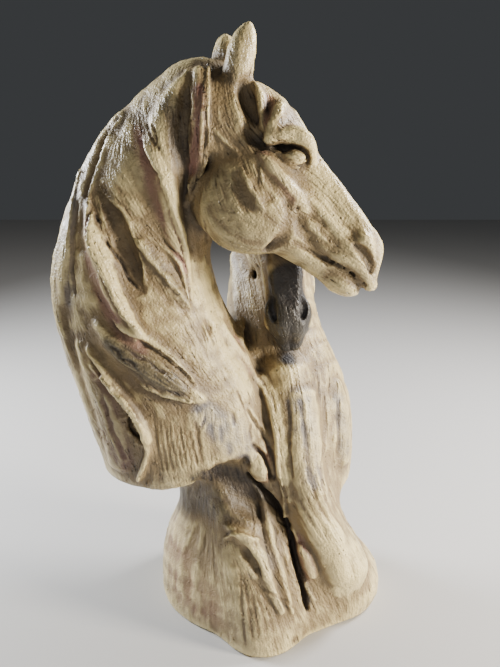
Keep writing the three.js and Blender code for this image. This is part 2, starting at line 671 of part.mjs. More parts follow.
// The cheapest entry comes out first
class Queue {
  items = [];

  swap(i, j) {
    [this.items[i], this.items[j]] = [this.items[j], this.items[i]];
  }

  push(item) {
    this.items.push(item);
    let i = this.items.length - 1;
    while (i > 0) {
      const parent = (i - 1) >> 1;
      if (this.items[parent].cost <= this.items[i].cost) break;
      this.swap(i, parent);
      i = parent;
    }
  }

  pop() {
    const top = this.items[0];
    const last = this.items.pop();
    if (this.items.length) {
      this.items[0] = last;
      let i = 0;
      for (;;) {
        let least = i;
        for (const child of [2 * i + 1, 2 * i + 2])
          if (child < this.items.length && this.items[child].cost < this.items[least].cost) least = child;
        if (least === i) break;
        this.swap(i, least);
        i = least;
      }
    }
    return top;
  }
}

const faceNormal = (a, b, c) => cross(add(b, a, -1), add(c, a, -1));

// Thins a closed mesh to about count triangles. Edges are shortened to one vertex, the one first whose
// vertex stays nearest to the planes of the triangles it stands for.
function thinned({ positions, faces }, count) {
  const planes = positions.map(() => new Float64Array(10));
  const touching = positions.map(() => new Set());
  const version = new Uint32Array(positions.length);
  faces.forEach((face, f) => {
    const normal = faceNormal(...face.map((v) => positions[v]));
    const area = long(...normal);
    const [a, b, c] = unit(normal);
    const d = -dot([a, b, c], positions[face[0]]);
    const terms = [a * a, a * b, a * c, a * d, b * b, b * c, b * d, c * c, c * d, d * d];
    for (const v of face) {
      touching[v].add(f);
      terms.forEach((term, k) => (planes[v][k] += term * area));
    }
  });
  const costOf = (q, [x, y, z]) =>
    q[0] * x * x + 2 * q[1] * x * y + 2 * q[2] * x * z + 2 * q[3] * x + q[4] * y * y +
    2 * q[5] * y * z + 2 * q[6] * y + q[7] * z * z + 2 * q[8] * z + q[9];
  const bestPoint = (q, a, b) => {
    const [xx, xy, xz, xd, yy, yz, yd, zz, zd] = q;
    const det = xx * (yy * zz - yz * yz) - xy * (xy * zz - yz * xz) + xz * (xy * yz - yy * xz);
    const middle = scaled(add(a, b), 0.5);
    const reach = long(...add(a, b, -1));
    if (Math.abs(det) > 1e-6 * (xx + yy + zz) ** 3) {
      const point = [
        (-xd * (yy * zz - yz * yz) + xy * (yd * zz - yz * zd) - xz * (yd * yz - yy * zd)) / det,
        (-xx * (yd * zz - yz * zd) + xd * (xy * zz - yz * xz) - xz * (xy * zd - yd * xz)) / det,
        (-xx * (yy * zd - yd * yz) + xy * (xy * zd - yd * xz) - xd * (xy * yz - yy * xz)) / det,
      ];
      if (long(...add(point, middle, -1)) < reach) return point;
    }
    return [a, b, middle].sort((p, r) => costOf(q, p) - costOf(q, r))[0];
  };
  const queue = new Queue();
  const offer = (a, b) => {
    const q = planes[a].map((term, k) => term + planes[b][k]);
    const point = bestPoint(q, positions[a], positions[b]);
    queue.push({ cost: Math.max(costOf(q, point), 0), a, b, point, at: version[a] + version[b] });
  };
  const neighbours = (v) => {
    const found = new Set();
    for (const f of touching[v]) for (const w of faces[f]) if (w !== v) found.add(w);
    return found;
  };
  const flips = (v, other, point) => {
    for (const f of touching[v]) {
      if (faces[f].includes(other)) continue;
      const before = faceNormal(...faces[f].map((w) => positions[w]));
      const after = faceNormal(...faces[f].map((w) => (w === v ? point : positions[w])));
      const turns = dot(before, after) < 0.25 * long(...before) * long(...after);
      if (turns || long(...after) < 0.02) return true;
    }
    return false;
  };
  positions.forEach((_, a) => {
    for (const b of neighbours(a)) if (a < b) offer(a, b);
  });
  let left = faces.length;
  while (left > count && queue.items.length) {
    const { a, b, point, at } = queue.pop();
    if (!touching[a].size || !touching[b].size || at !== version[a] + version[b]) continue;
    const near = neighbours(a);
    if (!near.has(b)) continue;
    if ([...neighbours(b)].filter((v) => near.has(v)).length !== 2) continue;
    if (flips(a, b, point) || flips(b, a, point)) continue;
    positions[a] = point;
    planes[a] = planes[a].map((term, k) => term + planes[b][k]);
    for (const f of touching[b]) {
      if (faces[f].includes(a)) {
        for (const v of faces[f]) if (v !== b) touching[v].delete(f);
        faces[f] = null;
        left -= 1;
      } else {
        faces[f] = faces[f].map((v) => (v === b ? a : v));
        touching[a].add(f);
      }
    }
    touching[b].clear();
    version[a] += 1;
    for (const v of neighbours(a)) offer(a, v);
  }
  const renumbered = new Map();
  const kept = [];
  const triangles = faces.filter(Boolean).map((face) =>
    face.map((v) => {
      if (!renumbered.has(v)) renumbered.set(v, kept.push(positions[v]) - 1);
      return renumbered.get(v);
    }),
  );
  return { positions: kept, faces: triangles };
}

// Locks of a mane that fall side by side from a line along the crest. The crest and the fall of the first
// and last lock are [across, up] in the view; every other lock is shorter, slimmer and lies higher.
function maneLocks(form, { view, crest, falls, count, width, rise, lean }) {
  const locks = [];
  for (let i = 0; i < count; i++) {
    const t = i / (count - 1);
    const [a, z] = stationAt(crest, t);
    const [da, dz] = [mix(falls[0][0], falls[1][0], t), mix(falls[0][1], falls[1][1], t)];
    const even = i % 2 === 0;
    const size = even ? 1 : 0.78;
    const bow = (even ? 0.12 : -0.06) * Math.hypot(da, dz);
    const points = [
      [a, z, width * 0.35],
      [a + da * 0.2 - bow * 0.5, z + dz * 0.34 * size, width * 0.85],
      [a + da * 0.5 - bow * 0.4, z + dz * 0.64 * size, width * size],
      [a + da * 0.82, z + dz * 0.86 * size, width * 0.7 * size],
      [a + da * size, z + dz * size, width * 0.2],
    ];
    locks.push(put(laid(form, view, points, rise * (even ? 0.85 : 1.15), lean), PUT_BLEND));
  }
  return locks;
}

const MANES = [
  // the front horse's far side and the back of its neck
  {
    view: "left",
    crest: [[-66, 408], [-112, 372], [-136, 310], [-140, 240], [-128, 190]],
    falls: [[24, -92], [58, -56]],
    count: 8,
    width: 9,
    rise: 5,
    lean: 8,
  },
  {
    view: "behind",
    crest: [[-30, 372], [-34, 320], [-34, 262]],
    falls: [[-10, -108], [-12, -118]],
    count: 3,
    width: 8,
    rise: 4,
    lean: 0,
  },
  {
    view: "behind",
    crest: [[4, 376], [8, 318], [10, 250]],
    falls: [[14, -110], [18, -120]],
    count: 3,
    width: 8,
    rise: 4,
    lean: 0,
  },
  // the back horse's mane, parted along the crest of its neck
  {
    view: "left",
    crest: [[4, 382], [6, 330], [8, 262], [12, 210]],
    falls: [[26, -88], [42, -92]],
    count: 6,
    width: 8.5,
    rise: 5,
    lean: 8,
  },
  {
    view: "left",
    crest: [[-8, 376], [-10, 322], [-8, 262], [0, 214]],
    falls: [[-22, -84], [-40, -88]],
    count: 6,
    width: 8.5,
    rise: 5,
    lean: -8,
  },
  {
    view: "ahead",
    crest: [[84, 352], [92, 292], [84, 238]],
    falls: [[-30, -74], [-46, -100]],
    count: 4,
    width: 8,
    rise: 4.5,
    lean: 0,
  },
];

function statueStrokes() {
  const strokes = masses().concat(headStrokes(BACK_HEAD), backMuzzle(), headStrokes(FRONT_HEAD));
  strokes.push(...earStrokes(FRONT_HEAD, [13, 12, 13], [-6, 43, 14], [0.9, 0.45, -0.2], 9.5, 10.5));
  strokes.push(...earStrokes(FRONT_HEAD, [2, 12, -12], [-23, 29, -19], [0.6, 0.8, 0.2], 12, 10));
  strokes.push(...earStrokes(BACK_HEAD, [6, 10, 13], [-12, -26, 21], [0.4, -0.6, 0.7], 9, 6.5));
  strokes.push(...earStrokes(BACK_HEAD, [6, 10, -13], [-12, -26, -21], [-0.4, -0.6, 0.7], 9, 6.5));
  const bare = clay(strokes);
  const hair = [];
  const onRight = (points, rise, lean) => laid(bare, "right", points, rise, lean);
  for (const [rise, lean, points] of RIGHT_RAISED) hair.push(put(onRight(points, rise, lean), PUT_BLEND));
  for (const [depth, lean, points] of RIGHT_CUT) hair.push(cut(onRight(points, depth, lean), CUT_BLEND));
  for (const mane of MANES) hair.push(...maneLocks(bare, mane));
  return strokes.concat(hair);
}

const sculpture = clay(statueStrokes());
const grid = traced(sculpture, [-200, -120, -9], [130, 150, HEIGHT + 15], CELL);
const { positions, faces } = thinned(outerSkin(grid), TRIANGLES);
const geometry = new THREE.BufferGeometry();
geometry.setAttribute("position", new THREE.BufferAttribute(new Float32Array(positions.flat()), 3));
geometry.setIndex(faces.flat());
const statue = new THREE.Mesh(geometry, new THREE.MeshStandardMaterial(CLAY));
statue.name = "double_horse_head";
const group = new THREE.Group();
group.name = "double_horse_head_statue";
group.add(statue);
export default group;
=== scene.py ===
"""Double horse head statue: a cast tabletop sculpture of two nuzzling horses, modelled in clay as one piece.

The clay is built up the way a modeller does it: masses are put on or cut away one after the other, locks of
hair and grooves are laid along the surface, and the skin of the result is traced into one closed mesh. Sizes
are millimetres until the mesh is made. +Z is up, the front horse looks towards +X and the horse behind it
faces -Y, where the camera stands.
"""
import logging
import math
from dataclasses import dataclass, field
from enum import Enum

import bpy
import numpy as np
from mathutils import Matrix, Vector


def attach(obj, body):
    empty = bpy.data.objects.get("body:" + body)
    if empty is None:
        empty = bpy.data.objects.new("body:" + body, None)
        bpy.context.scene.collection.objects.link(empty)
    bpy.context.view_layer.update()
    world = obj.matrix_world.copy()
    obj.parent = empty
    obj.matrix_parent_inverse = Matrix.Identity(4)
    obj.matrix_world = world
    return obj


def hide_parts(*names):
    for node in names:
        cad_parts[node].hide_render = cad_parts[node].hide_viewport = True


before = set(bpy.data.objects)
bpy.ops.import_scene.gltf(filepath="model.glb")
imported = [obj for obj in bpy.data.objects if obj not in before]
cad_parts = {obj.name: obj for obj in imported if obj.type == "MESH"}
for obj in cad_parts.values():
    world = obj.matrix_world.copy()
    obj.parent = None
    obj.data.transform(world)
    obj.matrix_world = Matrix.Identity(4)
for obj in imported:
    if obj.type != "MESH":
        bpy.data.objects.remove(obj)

log = logging.getLogger("statue")
MM = 0.001
FAR = 1e4
CAST_NODE = "double_horse_head"
# millimetres between the places where the surface is traced
PITCH = 1.4


# Small helpers on arrays of vectors

def unit(v: np.ndarray) -> np.ndarray:
    """Scale vectors to length one.

    Args:
        v: vectors along the last axis.

    Returns:
        The same directions with length one.
    """
    return v / np.maximum(np.linalg.norm(v, axis=-1, keepdims=True), 1e-9)


def spline(rows: np.ndarray, shares: np.ndarray) -> np.ndarray:
    """Read a smooth line through all rows.

    Args:
        rows: the rows that the line passes through.
        shares: places on the line, from 0 at the first row to 1 at the last.

    Returns:
        One interpolated row for each share.
    """
    last = len(rows) - 1
    i = np.minimum((shares * last).astype(int), last - 1)
    u = (shares * last - i)[:, None]
    p, q, r, s = (rows[np.clip(i + k, 0, last)] for k in (-1, 0, 1, 2))
    return q + 0.5 * u * (r - p + u * (2 * p - 5 * q + 4 * r - s + u * (3 * (q - r) + s - p)))


def grid_places(count: np.ndarray) -> np.ndarray:
    """Whole-number places of a grid with so many points each way."""
    return np.stack(np.meshgrid(*(np.arange(n) for n in count), indexing="ij"), axis=-1).reshape(-1, 3)


def joined(a: np.ndarray, b: np.ndarray, blend: float) -> np.ndarray:
    """Run two surfaces into each other over a fillet.

    Args:
        a: distances to the first surface.
        b: distances to the second surface.
        blend: about the fillet's width.

    Returns:
        Distances to the joined surface.
    """
    if blend <= 0:
        return np.minimum(a, b)
    near = np.maximum(blend - np.abs(a - b), 0)
    return np.minimum(a, b) - near * near / (4 * blend)


class Noise:
    """Smooth seeded noise in space, from -1 to 1."""

    side = 32
    samples = 11
    # averaging flattens the noise, and this brings it back to about -1 to 1
    evened = 4.2
    # turns the lattice away from the axes, so that upright streaks don't end in rows
    turn = np.array([[0.6, -0.48, 0.64], [0.8, 0.36, -0.48], [0, 0.8, 0.6]], np.float32)

    def __init__(self, seed: int) -> None:
        """Draw the lattice of values for a seed."""
        self.values = np.random.default_rng(seed).uniform(-1, 1, self.side ** 3).astype(np.float32)

    def at(self, points: np.ndarray) -> np.ndarray:
        """Read the noise.

        Args:
            points: places, one lattice step apart for each whole number.

        Returns:
            One value for each place.
        """
        n = self.side
        cell = np.floor(points).astype(np.int32)
        t = (points - cell).astype(np.float32)
        t = t * t * (3 - 2 * t)
        low, high = cell % n, (cell + 1) % n
        total = np.zeros(len(points), np.float32)
        for corner in range(8):
            weight = np.ones(len(points), np.float32)
            index = np.zeros(len(points), np.int32)
            for axis in range(3):
                far = corner >> axis & 1
                weight *= t[:, axis] if far else 1 - t[:, axis]
                index = index * n + (high if far else low)[:, axis]
            total += weight * self.values[index]
        return total

    def streaks(self, points: np.ndarray, flow: np.ndarray, size: float, length: float) -> np.ndarray:
        """Read noise that is drawn out along a flow.

        Args:
            points: places in millimetres.
            flow: direction of the streaks at each place.
            size: about their width.
            length: about their length.

        Returns:
            One value for each place, about -1 to 1.
        """
        steps = np.linspace(-0.5, 0.5, self.samples) * length
        points, flow = points @ self.turn.T, flow @ self.turn.T
        return sum(self.at((points + k * flow) / size) for k in steps) / self.evened


# Forms: solids given by the distance to their surface, below zero inside

class Form:
    """A solid inside the box from low to high."""

    low: np.ndarray
    high: np.ndarray

    def distance(self, p: np.ndarray) -> np.ndarray:
        """Distances from points to the surface."""
        raise NotImplementedError

    def gap(self, p: np.ndarray) -> np.ndarray:
        """How far points are outside the form's box."""
        over = np.maximum(np.maximum(self.low - p, p - self.high), 0)
        return np.sqrt(np.einsum("ij,ij->i", over, over))


class Ellipsoid(Form):
    """An egg shape."""

    def __init__(self, at: tuple, radii: tuple, turned: float = 0.0) -> None:
        """Place the ellipsoid.

        Args:
            at: its middle.
            radii: its three half sizes.
            turned: degrees that the first two half sizes are turned in their plane.
        """
        a = math.radians(turned)
        self.at = np.array(at, np.float32)
        self.radii = np.array(radii, np.float32)
        turned = [[math.cos(a), math.sin(a), 0], [-math.sin(a), math.cos(a), 0], [0, 0, 1]]
        self.axes = np.array(turned, np.float32)
        self.low = self.at - self.radii.max()
        self.high = self.at + self.radii.max()

    def distance(self, p: np.ndarray) -> np.ndarray:
        """Distances from points to the surface."""
        q = (p - self.at) @ self.axes.T / self.radii
        near = np.sqrt(np.einsum("ij,ij->i", q, q))
        q /= self.radii
        steep = np.sqrt(np.einsum("ij,ij->i", q, q))
        return np.where(steep > 1e-9, near * (near - 1) / np.maximum(steep, 1e-9), -self.radii.min())


class Limb(Form):
    """A swept solid with an oval section."""

    def __init__(self, stations: np.ndarray, sides: np.ndarray, parts: int = 4) -> None:
        """Sweep the section through the stations.

        Args:
            stations: rows of x, y, z, half width along the side direction, half depth.
            sides: one side direction, or one for each station.
            parts: straight pieces between two stations.
        """
        stations = np.array(stations, float)
        sides = np.broadcast_to(np.array(sides, float), (len(stations), 3))
        shares = np.linspace(0, 1, (len(stations) - 1) * parts + 1)
        rings = spline(stations, shares)
        self.centres = rings[:, :3].astype(np.float32)
        self.sizes = np.maximum(rings[:, 3:5], 0.3).astype(np.float32)
        self.sides = unit(spline(sides, shares)).astype(np.float32)
        reach = self.sizes.max(axis=1, keepdims=True)
        self.low = (self.centres - reach).min(axis=0)
        self.high = (self.centres + reach).max(axis=0)

    def distance(self, p: np.ndarray) -> np.ndarray:
        """Distances from points to the surface."""
        best = np.full(len(p), FAR, np.float32)
        for i in range(len(self.centres) - 1):
            a, b = self.centres[i], self.centres[i + 1]
            along = b - a
            length2 = max(float(along @ along), 1e-9)
            q = p - a
            t = np.clip(q @ along / length2, 0, 1)
            q = q - t[:, None] * along
            wide = self.sizes[i, 0] + t * (self.sizes[i + 1, 0] - self.sizes[i, 0])
            deep = self.sizes[i, 1] + t * (self.sizes[i + 1, 1] - self.sizes[i, 1])
            across = q @ self.sides[i] + t * (q @ (self.sides[i + 1] - self.sides[i]))
            rest2 = np.maximum(np.einsum("ij,ij->i", q, q) - across * across, 0) / (deep * deep)
            across2 = across * across / (wide * wide)
            near = np.sqrt(across2 + rest2)
            steep = np.sqrt(across2 / (wide * wide) + rest2 / (deep * deep))
            d = np.where(steep > 1e-9, near * (near - 1) / np.maximum(steep, 1e-9), -np.minimum(wide, deep))
            np.minimum(best, d, out=best)
        return best


class Table(Form):
    """Everything below the table top."""

    low = np.array([-FAR, -FAR, -FAR])
    high = np.array([FAR, FAR, 0.0])

    def distance(self, p: np.ndarray) -> np.ndarray:
        """Distances from points to the surface."""
        return p[:, 2]


class BelowHem(Form):
    """Everything below the lower edge of the hair, which rises and falls round the statue."""

    low = np.array([-FAR, -FAR, -FAR])
    high = np.array([FAR, FAR, 165.0])
    # degrees round the statue from +X, and the height of the edge there
    edge = ((-180, 120), (-150, 126), (-128, 138), (-117, 150), (-105, 133), (-80, 96), (-40, 92), (-12, 104),
            (20, 108), (60, 122), (90, 128), (125, 118), (155, 122), (180, 116))

    def distance(self, p: np.ndarray) -> np.ndarray:
        """Distances from points to the surface."""
        angles, heights = np.array(self.edge, float).T
        angle = np.degrees(np.arctan2(p[:, 1], p[:, 0]))
        i = np.clip(np.searchsorted(angles, angle), 1, len(angles) - 1)
        t = (angle - angles[i - 1]) / (angles[i] - angles[i - 1])
        t = t * t * (3 - 2 * t)
        return p[:, 2] - (heights[i - 1] + t * (heights[i] - heights[i - 1]))


@dataclass
class Stroke:
    """One form put on the clay, or cut away from it."""

    form: Form
    blend: float
    away: bool = False


class Clay(Form):
    """Clay that strokes are put on and cut away from in order."""

    # beyond this a distance is only a bound
    far = 40.0

    def __init__(self, strokes: list[Stroke]) -> None:
        """Keep the strokes and find the box round all that is put on."""
        self.strokes = strokes
        kept = [s.form for s in strokes if not s.away]
        self.low = np.min([f.low for f in kept], axis=0)
        self.high = np.max([f.high for f in kept], axis=0)

    def distance(self, p: np.ndarray) -> np.ndarray:
        """Distances from points to the surface, exact near it."""
        d = np.full(len(p), FAR, np.float32)
        for stroke in self.strokes:
            gap = stroke.form.gap(p)
            if stroke.away:
                near = np.flatnonzero(gap <= stroke.blend - d)
            else:
                near = np.flatnonzero(gap <= np.minimum(d, self.far) + stroke.blend)
            if not len(near):
                continue
            value = stroke.form.distance(p[near])
            if stroke.away:
                d[near] = -joined(-d[near], value, stroke.blend)
            else:
                d[near] = joined(d[near], value, stroke.blend)
        return d


class Lattice:
    """Values kept on an even grid, for quick reading between its points."""

    # a line of sight is walked in steps, each a share of the distance and no longer than the longest
    walks = 140
    share = 0.7
    longest = 12
    arrived = 0.02
    touching = 0.6

    def __init__(self, low: np.ndarray, pitch: float, values: np.ndarray) -> None:
        """Keep the grid.

        Args:
            low: its lowest corner.
            pitch: distance between its points.
            values: the values, with any further axes after the first three.
        """
        self.low = np.array(low, float)
        self.pitch = pitch
        self.count = np.array(values.shape[:3])
        self.values = values.reshape(-1, *values.shape[3:])

    @classmethod
    def of(cls, form: Form, low: tuple, high: tuple, pitch: float) -> "Lattice":
        """Sample a form on a new grid.

        Args:
            form: what to sample.
            low: the grid's lowest corner.
            high: the grid's highest corner.
            pitch: distance between samples.

        Returns:
            The grid of distances.
        """
        count = np.ceil((np.array(high) - low) / pitch).astype(int) + 1
        grid = grid_places(count)
        places = (np.array(low) + grid * pitch).astype(np.float32)
        return cls(low, pitch, form.distance(places).reshape(count))

    def at(self, points: np.ndarray) -> np.ndarray:
        """Values at points, read between the samples."""
        q = np.clip((points - self.low) / self.pitch, 0, self.count - 1.001)
        cell = q.astype(np.int64)
        t = q - cell
        ny, nz = self.count[1:]
        first = (cell[:, 0] * ny + cell[:, 1]) * nz + cell[:, 2]
        total = 0
        for corner in range(8):
            bits = corner & 1, corner >> 1 & 1, corner >> 2 & 1
            weight = np.prod([t[:, c] if bits[c] else 1 - t[:, c] for c in range(3)], axis=0)
            value = self.values[first + (bits[0] * ny + bits[1]) * nz + bits[2]]
            total = total + (weight[:, None] if value.ndim > 1 else weight) * value
        return total

    def normals(self, points: np.ndarray, reach: float = 2.0) -> np.ndarray:
        """Outward directions at points, read over the given reach."""
        slopes = [self.at(points + reach * e) - self.at(points - reach * e) for e in np.eye(3)]
        return unit(np.stack(slopes, axis=-1))

    def meet(self, starts: np.ndarray, ways: np.ndarray) -> tuple[np.ndarray, np.ndarray]:
        """Find where straight lines first meet the surface.

        Args:
            starts: where the lines start.
            ways: their directions.

        Returns:
            The points reached, and whether each is on the surface.
        """
        high = self.low + (self.count - 1) * self.pitch
        sides = np.stack([(self.low - starts) / np.where(ways == 0, 1e-9, ways),
                          (high - starts) / np.where(ways == 0, 1e-9, ways)])
        t = np.maximum(sides.min(axis=0).max(axis=1), 0)
        for _ in range(self.walks):
            d = self.at(starts + t[:, None] * ways)
            t = np.where(np.abs(d) > self.arrived, t + np.clip(d * self.share, -1, self.longest), t)
        return starts + t[:, None] * ways, np.abs(d) < self.touching


# Strokes that are laid along the surface

# the camera: its place, how many degrees it looks down, its focus and the picture in pixels
EYE = np.array([-20.0, -460.0, 370.0])
EYE_TILT = 16.67
EYE_FOCUS = 609.8
PICTURE = (500, 667)


class View(Enum):
    """Where a stroke is looked at from; its points are (across, up, half width) in millimetres.

    For EYE they are (across, down, half width) in the picture, which is 500 by 667.
    """

    EYE = "from the camera"
    RIGHT = "from -Y, across is X"
    LEFT = "from +Y, across is X"
    BEHIND = "from -X, across is Y"
    AHEAD = "from +X, across is Y"

    def rays(self, rows: np.ndarray) -> tuple[np.ndarray, np.ndarray]:
        """Lines of sight to the given places.

        Args:
            rows: places as this view gives them.

        Returns:
            Where the lines start, and their directions.
        """
        a, b = rows[:, 0], rows[:, 1]
        if self is View.EYE:
            tilt = math.radians(EYE_TILT)
            ahead = np.array([0, math.cos(tilt), -math.sin(tilt)])
            up = np.array([0, math.sin(tilt), math.cos(tilt)])
            ways = ahead + np.outer((a - PICTURE[0] / 2) / EYE_FOCUS, (1, 0, 0)) + np.outer(
                (PICTURE[1] / 2 - b) / EYE_FOCUS, up)
            return np.tile(EYE, (len(rows), 1)), unit(ways)
        way = {View.RIGHT: (0, 1, 0), View.LEFT: (0, -1, 0),
               View.BEHIND: (1, 0, 0), View.AHEAD: (-1, 0, 0)}[self]
        far = np.full_like(a, 400)
        across_x = self in (View.RIGHT, View.LEFT)
        starts = np.stack([a, 0 * a, b] if across_x else [0 * a, a, b], axis=-1) - np.outer(far, way)
        return starts, np.tile(np.array(way, float), (len(rows), 1))

    def size(self, at: np.ndarray) -> np.ndarray:
        """Millimetres at some points for one unit of this view."""
        if self is not View.EYE:
            return np.ones(len(at))
        tilt = math.radians(EYE_TILT)
        return (at - EYE) @ np.array([0, math.cos(tilt), -math.sin(tilt)]) / EYE_FOCUS


@dataclass
class Path:
    """A line draped over the surface: its points, directions along, outwards and aside, and half widths."""

    at: np.ndarray
    along: np.ndarray
    normal: np.ndarray
    aside: np.ndarray
    half: np.ndarray

    @classmethod
    def draped(cls, points: tuple, view: View, surface: Lattice, parts: int) -> "Path | None":
        """Drape a line over a surface.

        Args:
            points: rows of the line as the view gives them, with a half width.
            view: where it is looked at from.
            surface: distances to the surface.
            parts: how many places between two rows.

        Returns:
            The line, or None where it misses the surface.
        """
        rows = np.array(points, float)
        rows = spline(rows, np.linspace(0, 1, (len(rows) - 1) * parts + 1))
        at, found = surface.meet(*view.rays(rows))
        if found.sum() < 3:
            return None
        at = at[found]
        half = np.maximum(rows[found, 2] * view.size(at), 0.35)
        normal = surface.normals(at, 3.0)
        along = unit(np.gradient(at, axis=0))
        return cls(at, along, normal, unit(np.cross(along, normal)), half)


@dataclass
class Laid:
    """A lock or groove laid along the surface as a solid of its own.

    rise is how far its middle stands proud, or how deep it goes when cut. lean in degrees lifts the edge that
    is on the left going up the stroke.
    """

    points: tuple
    rise: float
    lean: float = 0.0
    blend: float = 3.0
    away: bool = False
    view: View = View.RIGHT
    path: Path | None = field(default=None, repr=False)

    def stroke(self, clay: Lattice) -> Stroke | None:
        """Lay the stroke on clay.

        Args:
            clay: the surface that it is laid on.

        Returns:
            The stroke, or None where the lines of sight miss the clay.
        """
        path = self.path = Path.draped(self.points, self.view, clay, 4)
        if path is None:
            return None
        height = self.rise * np.sqrt(path.half / path.half.max())
        deep = height + path.half * 0.3
        centre = path.at + path.normal * (height - deep)[:, None]
        lean = math.radians(self.lean)
        sides = path.aside * math.cos(lean) + path.normal * math.sin(lean)
        return Stroke(Limb(np.column_stack([centre, path.half, deep]), sides, 1), self.blend, self.away)


class Tool(Enum):
    """How a mark is made in the surface."""

    RIDGE = "a thin raised line"
    GROOVE = "a rounded furrow"
    CRACK = "a narrow split, dark inside"
    LEDGE = "a sharp step, raised on the right of the line going down"
    GUIDE = "only leads the comb"


class Tint(Enum):
    """A colour or a finish given to the clay along a line; two of them are painted shade and painted
    highlight.
    """

    ROSE = "rose"
    BLUE = "blue"
    CHARCOAL = "charcoal"
    # painted highlight on the lit faces, in the dry-brush colour
    CREAM_AND_HIGHLIGHT = "cream_and_highlight"
    # painted shade: dark umber laid where the surfaces are in shade
    PAINTED_SHADE = "painted_shade"
    SMOOTH = "smooth"


@dataclass
class Mark:
    """A mark in the surface, along a line with half widths. height is how far it rises or goes in."""

    tool: Tool
    height: float
    points: tuple
    view: View = View.EYE

    def profile(self, off: np.ndarray, half: np.ndarray) -> np.ndarray:
        """How high the surface moves.

        Args:
            off: how far aside of the line, less than zero on its raised side.
            half: half width of the line there.

        Returns:
            Heights in millimetres.
        """
        near = np.clip(1 - np.abs(off) / half, 0, 1)
        if self.tool is Tool.RIDGE:
            return self.height * near * near * (3 - 2 * near)
        if self.tool is Tool.GROOVE:
            lip = np.exp(-((np.abs(off) - half * 1.35) / (half * 0.4)) ** 2)
            return self.height * (0.15 * lip - near * (2 - near))
        if self.tool is Tool.CRACK:
            lip = np.exp(-((np.abs(off) - half * 1.6) / (half * 0.6)) ** 2)
            return self.height * (0.12 * lip - near)
        if self.tool is Tool.LEDGE:
            up = np.clip(-off / 1.3 + 0.3, 0, 1)
            back = np.clip(1 + off / half, 0, 1)
            foot = np.where(off > 0, np.exp(-(off / 1.6) ** 2), 0)
            return self.height * (up * up * (3 - 2 * up) * back * back * (3 - 2 * back) - 0.18 * foot)
        return np.zeros_like(off)


def ridge(height: float, *points: tuple) -> Mark:
    """A raised line."""
    return Mark(Tool.RIDGE, height, points)


def groove(depth: float, *points: tuple) -> Mark:
    """A rounded furrow."""
    return Mark(Tool.GROOVE, depth, points)


def crack(depth: float, *points: tuple) -> Mark:
    """A narrow split."""
    return Mark(Tool.CRACK, depth, points)


def ledge(height: float, *points: tuple) -> Mark:
    """A sharp step."""
    return Mark(Tool.LEDGE, height, points)


def guide(*points: tuple) -> Mark:
    """A line that only leads the comb."""
    return Mark(Tool.GUIDE, 0, tuple((*point, 1) for point in points))


# The two horses

def bar(*stations: tuple) -> Limb:
    """A limb in a head's own measures, its half widths first across the head."""
    return Limb(stations, (0, 0, 1))


